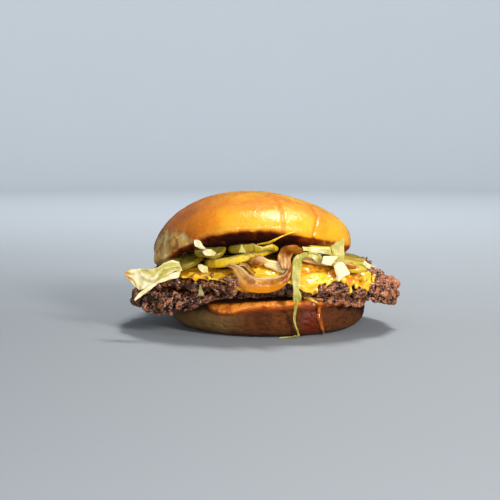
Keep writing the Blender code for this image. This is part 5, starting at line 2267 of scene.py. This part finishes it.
@dataclass
class Studio:
    """Camera, lights and a pale round sweep."""

    sweep_colour: Colour = tint(143, 149, 155)
    sweep_shade: Colour = tint(134, 140, 146)
    sky_colour: Colour = tint(200, 210, 220)
    sky_strength: float = 0.19
    floor_radius: float = 1100.0
    bend: float = 500.0
    wall_top: float = 1500.0
    # Lamps: name, place and target in metres, width and height, watts, colour.
    lamps: tuple[tuple[str, Colour, Colour, float, float, float, Colour], ...] = (
        ("key", (0.84, -1.12, 0.585), (0, 0, 0.035), 0.28, 0.28, 21.0, (1.0, 0.96, 0.90)),
        ("low", (0.02, -0.66, 0.13), (0, 0, 0.02), 0.50, 0.02, 1.45, (1.0, 0.97, 0.92)),
        ("overhead", (0.16, 0.12, 0.60), (0, 0, 0.035), 0.20, 0.08, 3.5, (1.0, 0.98, 0.95)),
        ("backdrop", (0.0, 0.5, 0.8), (0, 1.33, 0.27), 1.6, 0.3, 24.5, (0.96, 0.98, 1.0)),
        ("foredrop", (0.0, -0.75, 1.3), (0, -1.6, 0.6), 1.6, 0.4, 14.0, (0.96, 0.98, 1.0)),
    )

    def build(self) -> None:
        """Builds the studio."""
        bpy.context.scene.view_settings.view_transform = "Standard"
        self.build_sweep()
        self.build_camera()
        self.build_lamps()

    def build_sweep(self) -> None:
        """A round floor that curves up into a wall on every side."""
        around = 96
        arc = np.linspace(0, math.pi / 2, 24)
        profile = [(share * self.floor_radius, 0.0) for share in (0.25, 0.5, 0.75)]
        profile += [
            (self.floor_radius + self.bend * math.sin(t), self.bend * (1 - math.cos(t))) for t in arc
        ]
        profile.append((self.floor_radius + self.bend, self.wall_top))
        turn = np.linspace(0, TAU, around, endpoint=False)
        rings = [(r * math.cos(t), r * math.sin(t), z) for r, z in profile for t in turn]
        points = np.array(rings + [(0, 0, 0)])
        faces = [[len(points) - 1, k, (k + 1) % around] for k in range(around)]
        for ring in range(len(profile) - 1):
            base = ring * around
            faces += [
                [base + k, base + around + k, base + around + (k + 1) % around, base + (k + 1) % around]
                for k in range(around)
            ]
        form = Form("sweep", points, faces)
        graph = Graph("pale_sweep")
        mottle = graph.spread(graph.noise(180, 2), 0.3, 0.7, 0.0, 0.06)
        colour = graph.blend(mottle, self.sweep_colour, self.sweep_shade)
        form.mesh.materials.append(graph.finish(Base_Color=colour, Roughness=0.75))
        form.mesh.shade_smooth()
        form.object.visible_glossy = False
        form.object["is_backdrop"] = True

    def build_camera(self) -> None:
        """The camera, at the picture's angle."""
        camera = bpy.data.objects.new("camera", bpy.data.cameras.new("camera"))
        camera.location = Vector(EYE) * MM
        camera.rotation_euler = (math.radians(90 - EYE_PITCH), 0, 0)
        camera.data.lens = LENS
        camera.data.sensor_width = SENSOR
        camera.data.clip_start = 0.01
        bpy.context.scene.collection.objects.link(camera)
        bpy.context.scene.camera = camera

    def build_lamps(self) -> None:
        """The lamps and the sky."""
        for name, place, target, width, height, power, colour in self.lamps:
            light = bpy.data.lights.new(name, "AREA")
            light.shape = "RECTANGLE"
            light.size, light.size_y = width, height
            light.energy = power
            light.color = colour
            lamp = bpy.data.objects.new(name, light)
            lamp.location = place
            lamp.rotation_euler = (Vector(place) - Vector(target)).to_track_quat("Z", "Y").to_euler()
            lamp.visible_camera = False
            bpy.context.scene.collection.objects.link(lamp)
        world = bpy.data.worlds.new("sky")
        bpy.context.scene.world = world
        world.use_nodes = True
        sky = world.node_tree.nodes["Background"]
        sky.inputs["Color"].default_value = (*self.sky_colour, 1.0)
        sky.inputs["Strength"].default_value = self.sky_strength


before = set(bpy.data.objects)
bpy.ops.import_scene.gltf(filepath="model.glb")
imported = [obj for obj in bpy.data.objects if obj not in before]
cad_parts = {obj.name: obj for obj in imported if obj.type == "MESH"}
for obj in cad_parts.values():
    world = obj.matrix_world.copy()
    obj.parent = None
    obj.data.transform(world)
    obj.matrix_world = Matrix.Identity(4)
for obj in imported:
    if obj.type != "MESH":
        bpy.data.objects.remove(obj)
cad_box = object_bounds()


def main() -> None:
    """Builds the burger and the studio, in order."""
    logging.basicConfig(level=logging.INFO, format="%(name)s %(message)s")
    ground = Ground()
    ground.add(
        Heel().build(),
        Patty("patty_lower", 71, recess=(-4.0, 20.0, 25.0, 4.4, 20.4), lobes=(
            (-52.1, 15.1, 3.8), (-57.4, 16.0, 2.9), (-47.2, 14.6, 2.6), (-41.4, 15.8, 2.8),
            (-36.6, 16.5, 2.4), (-28.4, 22.9, 1.2), (-26.9, 21.9, 1.3), (-25.5, 20.7, 1.3),
            (-24.1, 19.7, 1.2), (-22.9, 18.8, 1.0),
        ), gaps=(
            (2.5, 21.9, 13.0, 2.6), (-37.5, 26.5, 6.5, 1.7), (-55.9, 20.2, 6.0, 1.8),
            (-29.4, 16.3, 8.0, 2.0),
        )).build(),
        Patty("patty_upper", 72, gaps=(
            (11.6, 25.1, 3.0, 3.4), (-36.6, 26.5, 7.0, 1.7), (1.0, 23.1, 17.0, 3.2), (-48.6, 23.8, 6.0, 1.4),
        )).build(),
    )
    ground.add(Cheese().build(ground))
    crumbs = Crumbs()
    seats = crumbs.seats(ground)
    FatRun().build(ground)
    ground.add(Crown().build())
    Filling().build(ground)
    crumbs.build(ground, seats)
    Studio().build()


if __name__ == "__main__":
    main()
